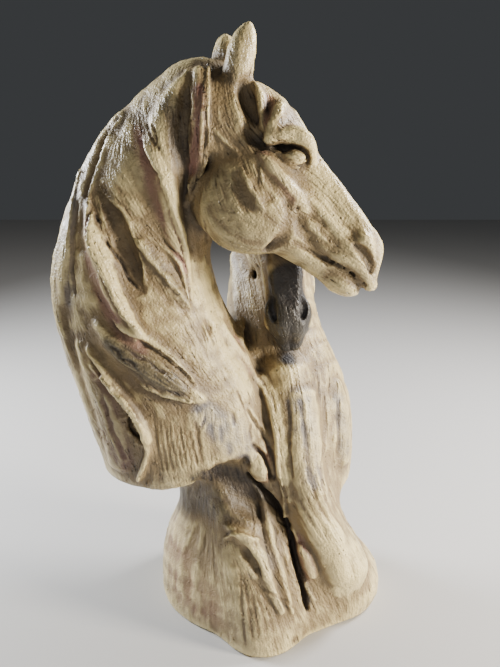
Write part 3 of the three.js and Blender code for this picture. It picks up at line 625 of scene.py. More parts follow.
@dataclass
class HorseHead:
    """A horse's head, carved in its own measures.

    They are along from the poll to the lips, out from the jaw to the nose, and aside from the middle, the
    same on both sides. A head is 160 long at scale 1.
    """

    poll: tuple
    lips: tuple
    out: tuple
    scale: float

    def __post_init__(self) -> None:
        """Work out the head's three directions."""
        self.origin = np.array(self.poll, float)
        self.along = unit(np.array(self.lips, float) - self.origin)
        out = np.array(self.out, float)
        self.outward = unit(out - self.along * (out @ self.along))
        self.aside = np.cross(self.along, self.outward)
        self.axes = np.stack([self.along, self.outward, self.aside])

    def place(self, p: tuple) -> np.ndarray:
        """A place in space from the head's own measures, with its side kept."""
        return self.origin + np.array(p, float) @ self.axes * self.scale

    def inward(self, p: np.ndarray) -> np.ndarray:
        """The head's own measures of places in space, both sides alike."""
        q = (p - self.origin.astype(np.float32)) @ self.axes.T.astype(np.float32) / self.scale
        q[:, 2] = np.abs(q[:, 2])
        return q

    def on(self, form: Form, blend: float) -> Stroke:
        """Put a form on both sides."""
        return Stroke(OnHead(form, self), blend * self.scale)

    def off(self, form: Form, blend: float) -> Stroke:
        """Cut a form away on both sides."""
        return Stroke(OnHead(form, self), blend * self.scale, away=True)

    def skull(self) -> list[Stroke]:
        """Skull, forehead and the tapering bridge of the nose, flat on top."""
        return [
            self.on(Ellipsoid((24, -14, 0), (38, 33, 27)), 0),
            self.on(Ellipsoid((48, 5, 0), (34, 24, 24), -3), 14),
            self.on(bar((62, 0, 0, 22, 22), (92, 0, 0, 16, 20), (122, -1, 0, 14, 19),
                (146, -5, 0, 13, 18)), 12),
            self.on(bar((84, 12, 7, 6, 7.5), (104, 12, 8, 5, 7), (126, 10.5, 8, 5, 7),
                (146, 7, 7, 5, 6.5)), 4),
            self.on(bar((74, -22, 0, 27, 24), (106, -21, 0, 20, 19), (140, -18, 0, 14, 14)), 10),
        ]

    def jaw(self) -> list[Stroke]:
        """The round cheeks and the bars of the jaw down to the chin."""
        return [
            self.on(Ellipsoid((77, -36, 15), (36, 35, 16)), 6),
            self.on(bar((64, -50, 9, 16, 20), (100, -38, 9, 13, 13), (134, -30, 5, 9, 10),
                (156, -28, 0, 10, 8.5)), 8),
        ]

    def muzzle(self) -> list[Stroke]:
        """Muzzle, upper lip and chin."""
        return [
            self.on(Ellipsoid((150, -6, 0), (16, 17, 16)), 8),
            self.on(bar((156, -4, 5, 9, 9), (166, -10, 4, 8, 8), (175, -13, 3, 6, 5)), 6),
            self.on(Ellipsoid((161, -26.5, 0), (14, 8.5, 12), 12), 5),
        ]

    def temple(self) -> list[Stroke]:
        """A deep hollow behind the eye, a second one before it, and the edge left between them."""
        return [
            self.off(bar((22, 15, 25, 4, 5), (30, 11, 26.5, 6, 7), (38, 7, 28, 6.5, 6.5),
                (46, 2, 28, 6, 5.5), (53, -3, 27.5, 4.5, 5), (58, -7, 28, 3, 3.5)), 4),
            self.off(bar((38, 21, 20, 3, 3.5), (43, 16, 23, 4.5, 4.5), (48, 11, 25.5, 5, 4.5),
                (52, 5, 27.5, 4.5, 4), (56, -1, 28, 3, 3)), 3),
            self.on(bar((44, 23, 11, 4, 4), (48.5, 20.5, 16.4, 4.4, 4.4), (51, 15, 20.5, 4.2, 4.2),
                (54.5, 8, 22.5, 3.4, 3.4), (58, 1, 23, 2.4, 2.4)), 5),
        ]

    def eye(self) -> list[Stroke]:
        """The eye under its heavy brow."""
        return [
            self.off(bar((67, 5, 25, 4, 4), (76, 5, 24.5, 5.5, 5), (84, 6, 22, 4, 4)), 4),
            self.on(bar((56, 6, 19.5, 5, 3), (62, 11, 19.5, 6, 4.6), (68, 15.5, 19.3, 6.6, 5.8),
                (74, 17.5, 18.6, 7, 6.2), (80, 17, 17.2, 6.6, 5.2), (85, 14, 15, 4.5, 3.5)), 3),
            self.on(Ellipsoid((77, 6.5, 17), (5.6, 5.4, 5.8)), 0.8),
            self.on(bar((68, 8, 21.6, 1.6, 1.4), (74, 11.6, 22.6, 2, 1.8), (80, 11.6, 21.6, 2, 1.8),
                (85, 8, 19.4, 1.2, 1.2)), 2),
            self.on(bar((69, 4, 21.6, 1, 1), (73, 1.8, 21.8, 1.1, 1.1), (79, 1.2, 21.2, 1.1, 1.1),
                (85, 4, 19.4, 1, 1)), 2),
            self.off(bar((84, 11, 19, 1.1, 1.6), (88, 4, 19, 1.4, 2), (92, -1, 19.5, 0.8, 1.2)), 1),
        ]

    def face_crest(self) -> list[Stroke]:
        """The long crest from under the eye to the lip, with a furrow on both sides."""
        return [
            self.on(bar((62, -7, 23.5, 2.6, 3), (74, -8.5, 25, 3.6, 3.8), (86, -8.5, 23.4, 3.6, 3.8),
                (97, -9.5, 20.6, 3, 3.4), (106, -11, 17.6, 2.6, 3)), 4),
            self.off(bar((66, -13.5, 29.2, 2, 2.4), (77, -15, 30, 2.4, 2.6), (88, -14.5, 27.8, 2.2, 2.4),
                (97, -16, 25.2, 1.8, 2)), 3),
            self.on(bar((97, -5, 17, 2.6, 2.8), (112, -4, 15, 2.6, 2.8), (132, -5, 13.9, 2.4, 2.6),
                (150, -7, 13, 2.4, 2.6), (164, -9, 11, 2.4, 2.6), (174, -12, 6, 3, 3)), 3),
            self.off(bar((83, 11, 18.6, 1.8, 2.4), (92, 7, 18.2, 2.2, 3), (104, 4, 17.4, 2.2, 3),
                (118, 3, 16.8, 2.2, 3), (132, 3, 16.2, 2, 3), (145, 3, 15.4, 1.6, 2.4)), 2.5),
        ]

    def cheek_edge(self) -> list[Stroke]:
        """The cheek's front edge, and the furrow between jaw and lip."""
        return [
            self.off(bar((98, -16, 26, 1.8, 2.4), (104, -20, 25.8, 2, 3), (109, -28, 24.4, 2.2, 3),
                (111, -36, 22.4, 2.2, 3), (108, -46, 18.6, 2, 3)), 4),
            self.off(bar((110, -19, 20, 2.6, 3.2), (126, -24, 18, 2.8, 3.6), (142, -25, 15.4, 2.4, 3)), 4),
            self.on(bar((114, -38, 15.5, 2.2, 2.4), (128, -33, 13.6, 2.2, 2.4),
                (142, -28, 11.6, 2, 2.2)), 3),
        ]

    def nostril(self) -> list[Stroke]:
        """A deep comma under a round wing, with the thin front rim."""
        return [
            self.on(Ellipsoid((150, 3, 10.5), (8, 6.5, 6.5), -20), 3),
            self.on(bar((150, 10, 3, 4, 4), (159, 8, 5, 3.4, 3.4), (166, 1, 6, 2.8, 2.8),
                (171, -6, 5, 2.6, 2.6)), 3),
            self.off(bar((149, -3, 16, 2.2, 2.4), (156, -2, 15, 3.6, 3.6), (163, -3.5, 12.6, 3.2, 3.4),
                (168, -7, 10.6, 1.8, 2.2)), 1.5),
        ]

    def mouth(self) -> list[Stroke]:
        """The mouth, and the pad of the upper lip over it."""
        return [
            self.on(bar((128, -19, 12.6, 2.2, 2.2), (142, -18, 13.4, 2.4, 2.4),
                (150, -14.5, 13.4, 2.6, 2.6), (158, -12.5, 12.4, 2.6, 2.6),
                (167, -12.5, 8.6, 2.6, 2.6)), 2.5),
            self.off(bar((145, -21.5, 13, 4, 0.8), (153, -19, 11, 5.5, 0.8), (162, -17, 9, 7, 1),
                (171, -16, 4, 9, 1), (180, -16.5, 0, 10, 1)), 1),
        ]

    def pock(self) -> list[Stroke]:
        """A hole where a crumb of clay fell out of the cheek."""
        return [
            self.off(Ellipsoid((103, -14.5, 22.6), (1.6, 1.6, 3)), 0.6),
        ]

    def strokes(self) -> list[Stroke]:
        """All the forms of the face, from the skull to the lips."""
        return (self.skull() + self.jaw() + self.muzzle() + self.temple() + self.eye() + self.face_crest()
                + self.cheek_edge() + self.nostril() + self.mouth() + self.pock())

    def ear(self, base: tuple, tip: tuple, hollow: tuple, wide: float, deep: float) -> list[Stroke]:
        """A pointed ear with its hollow.

        Args:
            base: where it grows, in the head's measures.
            tip: its end, in the head's measures.
            hollow: direction in space that the open side faces.
            wide: half its greatest width across the open side.
            deep: half its greatest depth.

        Returns:
            The ear, and the cut for its hollow.
        """
        low, high = self.place(base), self.place(tip)
        along = unit(high - low)
        face = unit(np.array(hollow, float) - along * (np.array(hollow, float) @ along))
        side = np.cross(along, face)
        outer = [(*(low + t * (high - low)), wide * w, deep * w)
                 for t, w in ((0, 0.86), (0.25, 1), (0.5, 0.96), (0.75, 0.72), (0.92, 0.42), (1, 0.2))]
        inner = [(*(low + t * (high - low) + face * deep * (1.15 - 0.45 * t)), wide * w, deep * w)
                 for t, w in ((0.15, 0.5), (0.4, 0.62), (0.7, 0.42), (0.85, 0.2))]
        return [Stroke(Limb(outer, side), 5), Stroke(Limb(inner, side), 2, away=True)]


class OnHead(Form):
    """A form given in a head's own measures."""

    def __init__(self, form: Form, head: HorseHead) -> None:
        """Keep the form and find its box in space."""
        self.form = form
        self.head = head
        aside = max(abs(float(form.low[2])), abs(float(form.high[2])))
        corners = np.array([head.place((l, n, s)) for l in (form.low[0], form.high[0])
                            for n in (form.low[1], form.high[1]) for s in (-aside, aside)])
        self.low = corners.min(axis=0)
        self.high = corners.max(axis=0)

    def distance(self, p: np.ndarray) -> np.ndarray:
        """Distances from points to the surface."""
        return self.form.distance(self.head.inward(p)) * self.head.scale


@dataclass
class Horses:
    """The masses of both horses on their stand, without hair or tool marks."""

    foot_half_width: float = 92
    foot_half_depth: float = 72
    waist_height: float = 82
    front: HorseHead = field(
        default_factory=lambda: HorseHead((-45, -20, 412), (70, -52, 293), (0.75, 0, 0.66), 0.97))
    back: HorseHead = field(
        default_factory=lambda: HorseHead((-4, 36, 386), (11, -32, 226), (0, -0.93, 0.3), 0.95))

    def front_neck(self) -> Limb:
        """The front horse's arched neck down to the shoulder."""
        return Limb([(-53, -15, 391, 29, 39), (-86, -12, 348, 36, 50), (-104, -12, 300, 43, 55),
                     (-103, -12, 252, 50, 62), (-88, -10, 206, 56, 67), (-74, -8, 165, 58, 71),
                     (-64, -5, 120, 58, 71)], (0, 1, 0))

    def back_neck(self) -> Limb:
        """The back horse's neck and chest."""
        return Limb([(0, 64, 362, 27, 30), (-2, 72, 320, 31, 36), (-3, 64, 268, 34, 40), (0, 42, 215, 42, 46),
                     (12, 22, 160, 53, 52), (14, 12, 100, 52, 52)], (1, 0, 0))

    def back_muzzle(self) -> list[Stroke]:
        """The back horse's broader muzzle, with nostrils that open to the front."""
        return [
            Stroke(OnHead(Ellipsoid((154, -4, 0), (17, 15, 19)), self.back), 6),
            Stroke(OnHead(Ellipsoid((149, 5, 11), (8, 7, 6)), self.back), 4),
            Stroke(OnHead(bar((141, 11, 11, 2, 2), (149, 12, 12.5, 3.4, 3.2), (156, 9, 10.5, 2, 2.4)),
                          self.back), 1.5, away=True),
            Stroke(OnHead(bar((168, -18, 0, 14, 1.6), (166, -12, 12, 5, 1.4)), self.back), 1.5, away=True),
        ]

    def strokes(self) -> list[Stroke]:
        """Everything from the table to the ears."""
        width, depth = self.foot_half_width, self.foot_half_depth
        across = (1, 0, 0)
        stump = Limb([(-8, 2, -10, width - 4, depth), (-12, 2, 32, width - 8, depth - 4),
                      (-14, 4, self.waist_height, 66, 50), (-18, 6, 140, 66, 48)], across)
        corner = Limb([(-32, -28, 118, 20, 18), (-22, -50, 60, 24, 20), (-12, -60, 14, 28, 25),
                       (-10, -62, -10, 28, 25)], across)
        ridge = Limb([(8, -14, 205, 15, 12), (16, -24, 150, 17, 18), (30, -32, 96, 20, 20),
                      (52, -36, 46, 24, 22)],
                     across)
        arch = Limb([(-54, -50, 137, 8, 8), (-38, -53, 135, 14, 14), (-23, -52, 119, 15, 13),
                     (-10, -47, 105, 9, 8)],
                    (0.4, 0, 0.9))
        upper = Clay([Stroke(self.front_neck(), 0), Stroke(self.back_neck(), 10),
                      Stroke(BelowHem(), 8, away=True)])
        strokes = [
            Stroke(stump, 0),
            Stroke(corner, 16),
            Stroke(Ellipsoid((56, -6, 14), (36, 42, 33)), 14),
            Stroke(upper, 10),
            Stroke(ridge, 12),
            Stroke(arch, 7, away=True),
            Stroke(Table(), 2, away=True),
        ]
        strokes += self.back.strokes() + self.back_muzzle() + self.front.strokes()
        strokes += self.front.ear((13, 12, 13), (-6, 43, 14), (0.9, 0.45, -0.2), 9.5, 10.5)
        strokes += self.front.ear((2, 12, -12), (-23, 29, -19), (0.6, 0.8, 0.2), 12, 10)
        strokes += self.back.ear((6, 10, 13), (-12, -26, 21), (0.4, -0.6, 0.7), 9, 6.5)
        strokes += self.back.ear((6, 10, -13), (-12, -26, -21), (-0.4, -0.6, 0.7), 9, 6.5)
        return strokes


def laid_rows(rows: tuple, away: bool, blend: float) -> list[Laid]:
    """Make laid strokes of the side that faces the camera.

    Args:
        rows: for each stroke how far proud or deep, how much leaned, and its points.
        away: whether they are cut.
        blend: fillet where they meet the surface.

    Returns:
        The strokes in order.
    """
    return [Laid(points, rise, lean, blend, away) for rise, lean, points in rows]


def carving(rise: float, blend: float, *points: tuple, away: bool = False) -> Laid:
    """Make a laid stroke that is placed as the camera sees it.

    Args:
        rise: how far proud, or how deep where it is cut.
        blend: fillet where it meets the surface.
        points: rows of its line in the picture, with a half width.
        away: whether it is cut.

    Returns:
        The stroke.
    """
    return Laid(points, rise, blend=blend, away=away, view=View.EYE)


@dataclass
class Mane:
    """Locks that fall side by side from a line along the crest of a neck.

    falls gives how far the first and the last lock reach, as (across, up). Every other lock is shorter,
    slimmer and lies higher.
    """

    view: View
    crest: tuple
    falls: tuple
    count: int
    width: float
    rise: float
    lean: float

    def locks(self) -> list[Laid]:
        """The locks in order down the crest."""
        shares = np.linspace(0, 1, self.count)
        roots = spline(np.array(self.crest, float), shares)
        found = []
        for i, (t, (a, z)) in enumerate(zip(shares, roots)):
            da, dz = np.array(self.falls[0]) * (1 - t) + np.array(self.falls[1]) * t
            even = i % 2 == 0
            size = 1 if even else 0.78
            bow = (0.12 if even else -0.06) * math.hypot(da, dz)
            w = self.width
            points = ((a, z, w * 0.35), (a + da * 0.2 - bow * 0.5, z + dz * 0.34 * size, w * 0.85),
                      (a + da * 0.5 - bow * 0.4, z + dz * 0.64 * size, w * size),
                      (a + da * 0.82, z + dz * 0.86 * size, w * 0.7 * size),
                      (a + da * size, z + dz * size, w * 0.2))
            found.append(Laid(points, self.rise * (0.85 if even else 1.15), self.lean, view=self.view))
        return found


@dataclass
class Hair:
    """The manes, and all that is carved along the surface."""

    # how far proud, how much leaned, and points down each stroke
    raised: tuple = (
        # the crest along the neck, and the sheaves from the poll down to the shoulder
        (3, 0, ((-107, 393, 4), (-123, 374, 5), (-136, 348, 6), (-144, 318, 6), (-150, 284, 6),
                (-155, 246, 5))),
        (5, 0, ((-60, 417, 2.5), (-69, 403, 7.5), (-76, 386, 10.3), (-77, 367, 9.8), (-74, 345, 9.3),
                (-71, 319, 8.1), (-66, 295, 5.5),
                (-62, 273, 1.4))),
        (5, 8, ((-53, 417, 5.1), (-53, 401, 5.1), (-53, 386, 4.8), (-55, 371, 4.2), (-56, 357, 3.3),
                (-59, 345, 2),
                (-62, 337, 0.7))),
        (5.5, 0, ((-47, 417, 1.6), (-48, 401, 1.6), (-49, 386, 1.5), (-51, 367, 1.5), (-54, 355, 1.4),
                  (-58, 344, 0.9))),
        (6, 14, ((-129, 335, 2.7), (-126, 316, 6), (-119, 298, 7.4), (-113, 280, 7.4), (-105, 264, 6.8),
                 (-98, 250, 5.4))),
        (5, 0, ((-139, 239, 5.6), (-131, 216, 9.9), (-123, 192, 12.9), (-119, 167, 14.6), (-119, 146, 11.2))),
        (6, 0, ((-130, 236, 2.1), (-116, 216, 2.8), (-104, 199, 3.2), (-94, 183, 3.2), (-93, 162, 2.9),
                (-101, 140, 2.2))),
        # throat, chest and the bundle that runs down into the foot
        (3, 0, ((-40, 248, 2.9), (-32, 233, 3.7), (-22, 217, 3.8), (-15, 203, 1.9))),
        (3, 0, ((-11, 201, 6.9), (-2, 180, 6.1), (3, 159, 4.6), (5, 136, 4.6), (11, 113, 4.6))),
        (4, 0, ((23, 191, 12.2), (24, 152, 12.9), (27, 122, 13), (34, 94, 13.1), (45, 69, 12.4),
                (50, 50, 9.4))),
        (3, 0, ((51, 189, 7.3), (57, 158, 8.9), (57, 129, 7.3))),
        (3, 0, ((-14, 144, 5), (-14, 137, 7.6), (-13, 130, 6.9))),
        (2.5, 0, ((-35, 284, 5.2), (-32, 260, 5.8), (-29, 238, 4.6), (-23, 218, 3))),
        # lumps of the stand
        (5, 0, ((-34, 94, 3.8), (-22, 88, 6.1), (-12, 73, 6.1), (-5, 54, 5.3), (3, 35, 3))),
        (4, 0, ((-11, 118, 3.1), (-7, 96, 3.9), (-2, 76, 3.9), (6, 50, 3.8), (11, 31, 2.3))),
    )
    cuts: tuple = (
        (7, 0, ((-105, 187, 2.1), (-103, 180, 3.4), (-100, 174, 2.1))),
        # the deep cleft between the two chests, with the crack above it
        (9, 0, ((-18, 127, 2), (-9, 117, 2.8), (0, 104, 3.4), (10, 87, 2.6), (15, 68, 3.6), (21, 47, 2.8),
                (25, 27, 1.5))),
        (3, 0, ((-17, 158, 1.2), (-9, 146, 2.2), (-4, 131, 2.2))),
    )
    # a leaf of hair, the smooth pad beside it and the folded sheaf, as they are seen from the camera
    leaves: tuple = (
        carving(1.1, 6, (101, 190, 2), (109, 208, 5), (119, 232, 8), (128, 256, 9), (135, 276, 7),
                (140, 289, 3),
                away=True),
        carving(2.8, 4, (142, 244, 3), (151, 258, 7), (163, 275, 9), (175, 291, 8), (185, 304, 3)),
        carving(5.5, 6, (100, 328, 5), (114, 343, 10), (134, 360, 14), (157, 374, 14), (180, 388, 11),
                (198, 397, 6)),
    )
    # the two hollows of the temple and the ridges between them
    temple: tuple = (
        carving(2.8, 6, (244, 86, 4), (247, 95, 8), (251, 106, 8), (256, 118, 6), away=True),
        carving(2.2, 6, (250, 132, 4), (257, 140, 6), (266, 143, 5), away=True),
        carving(1.8, 4, (257, 86, 2), (261, 97, 3), (262, 111, 3), (264, 126, 2.6)),
        carving(2.2, 5, (281, 106, 3), (278, 115, 5), (273, 127, 5), (266, 139, 3)),
    )
    # the lump on the right wall of the cleft
    cleft_lump: tuple = (carving(5, 3, (302, 549, 5), (307, 560, 8), (311, 572, 6)),)
    # the socket under the brow, the brow, the ball of the eye, and the lower lid
    eye: tuple = (
        carving(3.2, 3, (273, 146, 2), (283, 148, 4.5), (294, 150, 5.5), (304, 151, 4),
                (307, 159, 2), away=True),
        carving(4, 5, (274, 139, 4), (285, 134, 6.5), (297, 132, 6.5), (308, 138, 4)),
        carving(4.2, 1, (288, 155, 3), (294, 155, 5.2), (300, 157, 3)),
        carving(2, 2, (278, 152, 1.2), (287, 159.5, 1.8), (297, 162, 1.8), (305, 160, 1.2)),
    )
    manes: tuple = (
        # the front horse's far side and the back of its neck
        Mane(View.LEFT, ((-66, 408), (-112, 372), (-136, 310), (-140, 240), (-128, 190)),
             ((24, -92), (58, -56)), 8, 9, 5, 8),
        Mane(View.BEHIND, ((-30, 372), (-34, 320), (-34, 262)), ((-10, -108), (-12, -118)), 3, 8, 4, 0),
        Mane(View.BEHIND, ((4, 376), (8, 318), (10, 250)), ((14, -110), (18, -120)), 3, 8, 4, 0),
        # the back horse's mane, parted along the crest of its neck
        Mane(View.LEFT, ((4, 382), (6, 330), (8, 262), (12, 210)), ((26, -88), (42, -92)), 6, 8.5, 5, 8),
        Mane(View.LEFT, ((-8, 376), (-10, 322), (-8, 262), (0, 214)), ((-22, -84), (-40, -88)), 6, 8.5, 5,
             -8),
        Mane(View.AHEAD, ((84, 352), (92, 292), (84, 238)), ((-30, -74), (-46, -100)), 4, 8, 4.5, 0),
    )

    def all(self) -> list[Laid]:
        """Every laid stroke in the order of making."""
        found = laid_rows(self.raised, False, 3) + laid_rows(self.cuts, True, 1.5)
        found += [*self.leaves, *self.temple, *self.cleft_lump, *self.eye]
        for mane in self.manes:
            found += mane.locks()
        return found


@dataclass
class ToolMarks:
    """What the knife, the comb and the thumb left on the side that the camera sees."""

    # creases of the brow, cheek folds, a slit, and wrinkles before the mouth
    face: tuple = (
        crack(0.7, (268, 147, 1.2), (280, 146, 1.6), (292, 147, 1.6), (303, 150, 1.2)),
        ridge(1.8, (241, 166, 2), (248, 184, 3), (258, 200, 3), (266, 214, 2)),
        groove(1.5, (234, 170, 4), (239, 186, 8), (246, 201, 9), (256, 214, 5)),
        groove(0.8, (252, 172, 3), (260, 186, 6), (268, 198, 6), (276, 206, 4)),
        crack(1.4, (257, 163, 1), (258, 174, 1.7), (259, 188, 1)),
        ridge(1, (261, 166, 1.6), (262, 176, 2), (262, 186, 1.5)),
        ledge(1.4, (207, 125, 4), (222, 141, 6), (234, 152, 5), (242, 160, 3)),
        groove(0.5, (206, 204, 3), (222, 226, 5), (244, 240, 5), (266, 245, 3)),
        crack(0.9, (305, 214, 1.2), (313, 218, 2), (322, 224, 1.2)),
        crack(0.9, (316, 228, 1), (326, 236, 1.6), (334, 243, 1)),
        crack(0.7, (300, 226, 1), (312, 234, 1.5), (326, 246, 1.6), (338, 256, 1)),
        groove(1.2, (290, 240, 2), (310, 250, 3), (330, 262, 3), (344, 268, 2)),
        ledge(1.2, (312, 190, 4), (326, 208, 6), (340, 226, 6), (352, 240, 4)),
        guide((318, 160), (345, 205), (370, 238)),
        guide((205, 150), (206, 190), (222, 226), (254, 246), (290, 246)),
        guide((225, 150), (226, 180), (240, 212), (262, 224)),
        guide((270, 200), (300, 222), (330, 250)),
    )
    # beside the ribbon that falls from the poll
    ribbon: tuple = (
        groove(0.7, (182, 84, 4), (185, 112, 7), (183, 142, 6), (186, 172, 4), (187, 203, 2)),
        ridge(1.2, (190, 80, 2), (194, 106, 2), (190, 128, 1.8), (191, 156, 1.8), (188, 196, 1.6)),
        crack(1.4, (189, 132, 1), (187, 146, 1.8), (188, 160, 1.2)),
        ledge(2.5, (207, 72, 9), (205, 120, 9), (206, 144, 9), (200, 172, 8), (188, 202, 4)),
    )
    # gouges in the mane below the poll
    gouges: tuple = (
        crack(1.6, (147, 120, 1), (148, 128, 2), (152, 138, 1.4), (157, 150, 1)),
        crack(1.6, (151, 122, 1), (155, 132, 2), (158, 145, 1.6), (161, 157, 1)),
        crack(1, (171, 122, 1.2), (172, 136, 1.5), (172, 150, 1)),
        crack(1, (180, 128, 1.2), (182, 140, 1.5), (186, 156, 1)),
    )
    # the long bright lock and the leaves below it
    leaves: tuple = (
        ledge(3, (140, 132, 12), (148, 156, 15), (160, 180, 16), (170, 210, 15), (180, 240, 12),
            (186, 268, 8)),
        crack(1.6, (160, 236, 1.4), (172, 250, 1.8), (183, 262, 1.8), (188, 280, 1.8), (191, 306, 1.4)),
        crack(1.2, (178, 236, 1.2), (186, 262, 1.5), (192, 290, 1.2)),
        ledge(2.2, (134, 236, 6), (144, 256, 8), (158, 272, 9), (170, 286, 9), (184, 304, 6)),
        ridge(1.6, (98, 184, 2), (112, 200, 2.6), (126, 216, 3), (137, 244, 3), (144, 268, 3), (145, 288, 2)),
        ridge(1.4, (146, 236, 2), (158, 243, 2.6), (176, 259, 2.8), (184, 280, 2.8), (188, 304, 2)),
        crack(2.5, (106, 236, 1.6), (109, 246, 2.4), (122, 262, 2.6), (128, 277, 2.6), (140, 291, 2)),
        ledge(4.5, (92, 208, 8), (87, 230, 14), (92, 252, 16), (104, 280, 16), (114, 302, 14),
            (126, 322, 12), (140, 338, 8)),
        crack(1.9, (94, 213, 2), (98, 219, 2.5), (103, 226, 1.6)),
    )
    # the crest, and the long sheaf behind it
    crest: tuple = (
        ledge(1.6, (132, 96, 8), (112, 128, 10), (100, 156, 10), (91, 184, 8), (84, 218, 6)),
        ridge(1.2, (122, 92, 2), (98, 128, 2.5), (82, 165, 2.5), (72, 205, 2.5), (66, 250, 2)),
        groove(1.2, (78, 196, 2), (74, 230, 3), (72, 262, 3), (76, 300, 2)),
        guide((144, 84), (112, 122), (88, 172), (74, 230), (72, 290), (84, 350)),
    )
    # throat and neck below the leaves
    throat: tuple = (
        groove(2, (206, 318, 3), (209, 327, 4.6), (212, 338, 3)),
        ridge(1, (203, 322, 1.6), (206, 332, 2), (210, 342, 1.6)),
        ridge(0.8, (210, 316, 1.4), (215, 326, 1.8), (216, 336, 1.4)),
        crack(1, (178, 298, 1.4), (185, 306, 2), (191, 313, 1.2)),
        crack(0.9, (172, 296, 1), (180, 306, 1.6), (187, 314, 1)),
        crack(0.7, (212, 296, 1), (214, 304, 1.6), (216, 312, 1)),
        crack(0.7, (203, 218, 1.2), (206, 232, 2), (209, 246, 1.2)),
        guide((196, 230), (200, 275), (212, 318), (236, 356), (262, 392)),
        guide((150, 296), (170, 326), (196, 362), (232, 404), (258, 440)),
    )
    # the folded sheaf across the shoulder, and the bright valley below it
    sheaf: tuple = (
        ledge(3.2, (108, 316, 8), (126, 332, 11), (146, 343, 12), (172, 362, 10), (199, 390, 5)),
        crack(1.6, (106, 344, 1), (116, 350, 2), (121, 359, 1.4), (131, 362, 2), (138, 370, 1.2)),
        crack(1.4, (128, 350, 1), (138, 358, 2), (149, 361, 1.4), (158, 370, 1.8), (170, 374, 1)),
        crack(1, (150, 352, 1), (166, 364, 1.6), (182, 380, 1.4), (192, 392, 1)),
        crack(1, (120, 362, 1), (136, 374, 1.6), (150, 388, 1)),
        ledge(3, (136, 382, 5), (152, 391, 8), (176, 399, 8), (199, 404, 5)),
        ledge(3, (147, 452, 7), (143, 428, 10), (128, 404, 10), (106, 380, 9), (88, 362, 6)),
        crack(3.1, (129, 424, 2.4), (134, 431, 3.6), (139, 438, 2.4)),
        ridge(1.4, (122, 420, 2), (128, 416, 2.4), (136, 422, 2.4), (142, 434, 2)),
        groove(1.5, (100, 392, 3), (112, 430, 4), (126, 462, 3)),
        crack(0.9, (98, 428, 1), (104, 432, 1.4), (106, 442, 1)),
    )
    # comb marks over the hem, with the gouges at their right
    comb: tuple = (
        *(groove(0.9, (154 + 5 * i, 414 + 2 * i, 1.6), (158 + 5 * i, 446, 1.8), (163 + 5 * i, 474 - i, 1.4))
          for i in range(9)),
        crack(1.9, (194, 420, 1.6), (197, 430, 2.8), (199, 442, 2), (203, 452, 1.2)),
        crack(1.5, (206, 416, 1.2), (203, 424, 2), (199, 432, 1.4)),
        crack(1.5, (232, 412, 1.4), (234, 420, 2.4), (234, 428, 1.4)),
        crack(1, (235, 388, 1.2), (240, 398, 1.6), (246, 412, 1.4)),
        crack(2.5, (247, 408, 1.6), (254, 420, 2.4), (262, 432, 3), (269, 448, 3), (273, 464, 2.4),
            (274, 482, 2)),
        crack(1.2, (252, 422, 1.4), (250, 432, 1.8), (252, 442, 1.2)),
        ridge(1.6, (256, 450, 4), (262, 466, 6), (262, 480, 5)),
    )
    # chest and leg bundle
    legs: tuple = (
        ledge(2, (288, 520, 6), (282, 478, 8), (278, 440, 9), (272, 404, 8), (258, 376, 5)),
        crack(1.5, (288, 398, 1.2), (290, 420, 2), (290, 450, 2), (293, 480, 1.4)),
        groove(0.8, (300, 396, 3), (304, 430, 4), (308, 466, 4), (318, 500, 3)),
        groove(0.8, (324, 392, 2), (324, 430, 3.4), (322, 470, 3.4), (326, 506, 2.6)),
        groove(0.8, (338, 396, 2), (338, 430, 3), (336, 462, 2.4)),
        *(groove(0.55, (291 + 7 * i, 500 - 3 * i, 1), (303 + 7 * i, 522 - 3 * i, 1.8),
            (321 + 6 * i, 550 - 4 * i, 1.2))
          for i in range(6)),
        ledge(2, (318, 602, 6), (304, 578, 9), (296, 552, 9), (290, 528, 6)),
    )
    # the stand, with the fan of strokes at its foot
    stand: tuple = (
        crack(1, (206, 532, 1.2), (205, 544, 1.8), (204, 556, 1.2)),
        crack(1, (212, 530, 1), (213, 548, 1.6), (214, 566, 1)),
        groove(2.2, (241, 543, 4), (247, 553, 6.5), (254, 564, 6), (263, 578, 3)),
        ledge(2.4, (262, 540, 6), (246, 534, 7), (232, 532, 6), (222, 540, 5)),
        crack(1.2, (250, 506, 1), (254, 522, 1.6), (252, 536, 1.2), (258, 548, 1)),
        crack(1.4, (270, 516, 1), (276, 532, 2), (277, 546, 1.4), (284, 560, 1.8), (290, 580, 1)),
        crack(1, (258, 500, 1.2), (262, 528, 1.8), (268, 556, 1.6), (276, 580, 1)),
        crack(1.4, (262, 486, 1), (266, 498, 2), (275, 508, 1.4), (279, 520, 1.8), (288, 528, 1)),
        ridge(1.4, (284, 508, 2), (289, 522, 3), (296, 534, 3), (299, 546, 2)),
        crack(1.2, (284, 540, 1), (291, 552, 1.8), (290, 566, 1.4), (297, 580, 1.6), (299, 596, 1)),
        *(groove(0.6, (240 + 3 * i, 566 + 3 * i, 1.3), (242 + 6 * i, 604, 1.9),
            (246 + 7 * i, 646 - 3 * i, 1.5))
          for i in range(9)),
        groove(1, (200, 520, 4), (190, 560, 8), (186, 600, 6)),
        guide((195, 500), (184, 540), (176, 590)),
    )

    def all(self) -> tuple:
        """Every mark in the order of making."""
        return (*self.face, *self.ribbon, *self.gouges, *self.leaves, *self.crest, *self.throat, *self.sheaf,
                *self.comb, *self.legs, *self.stand)


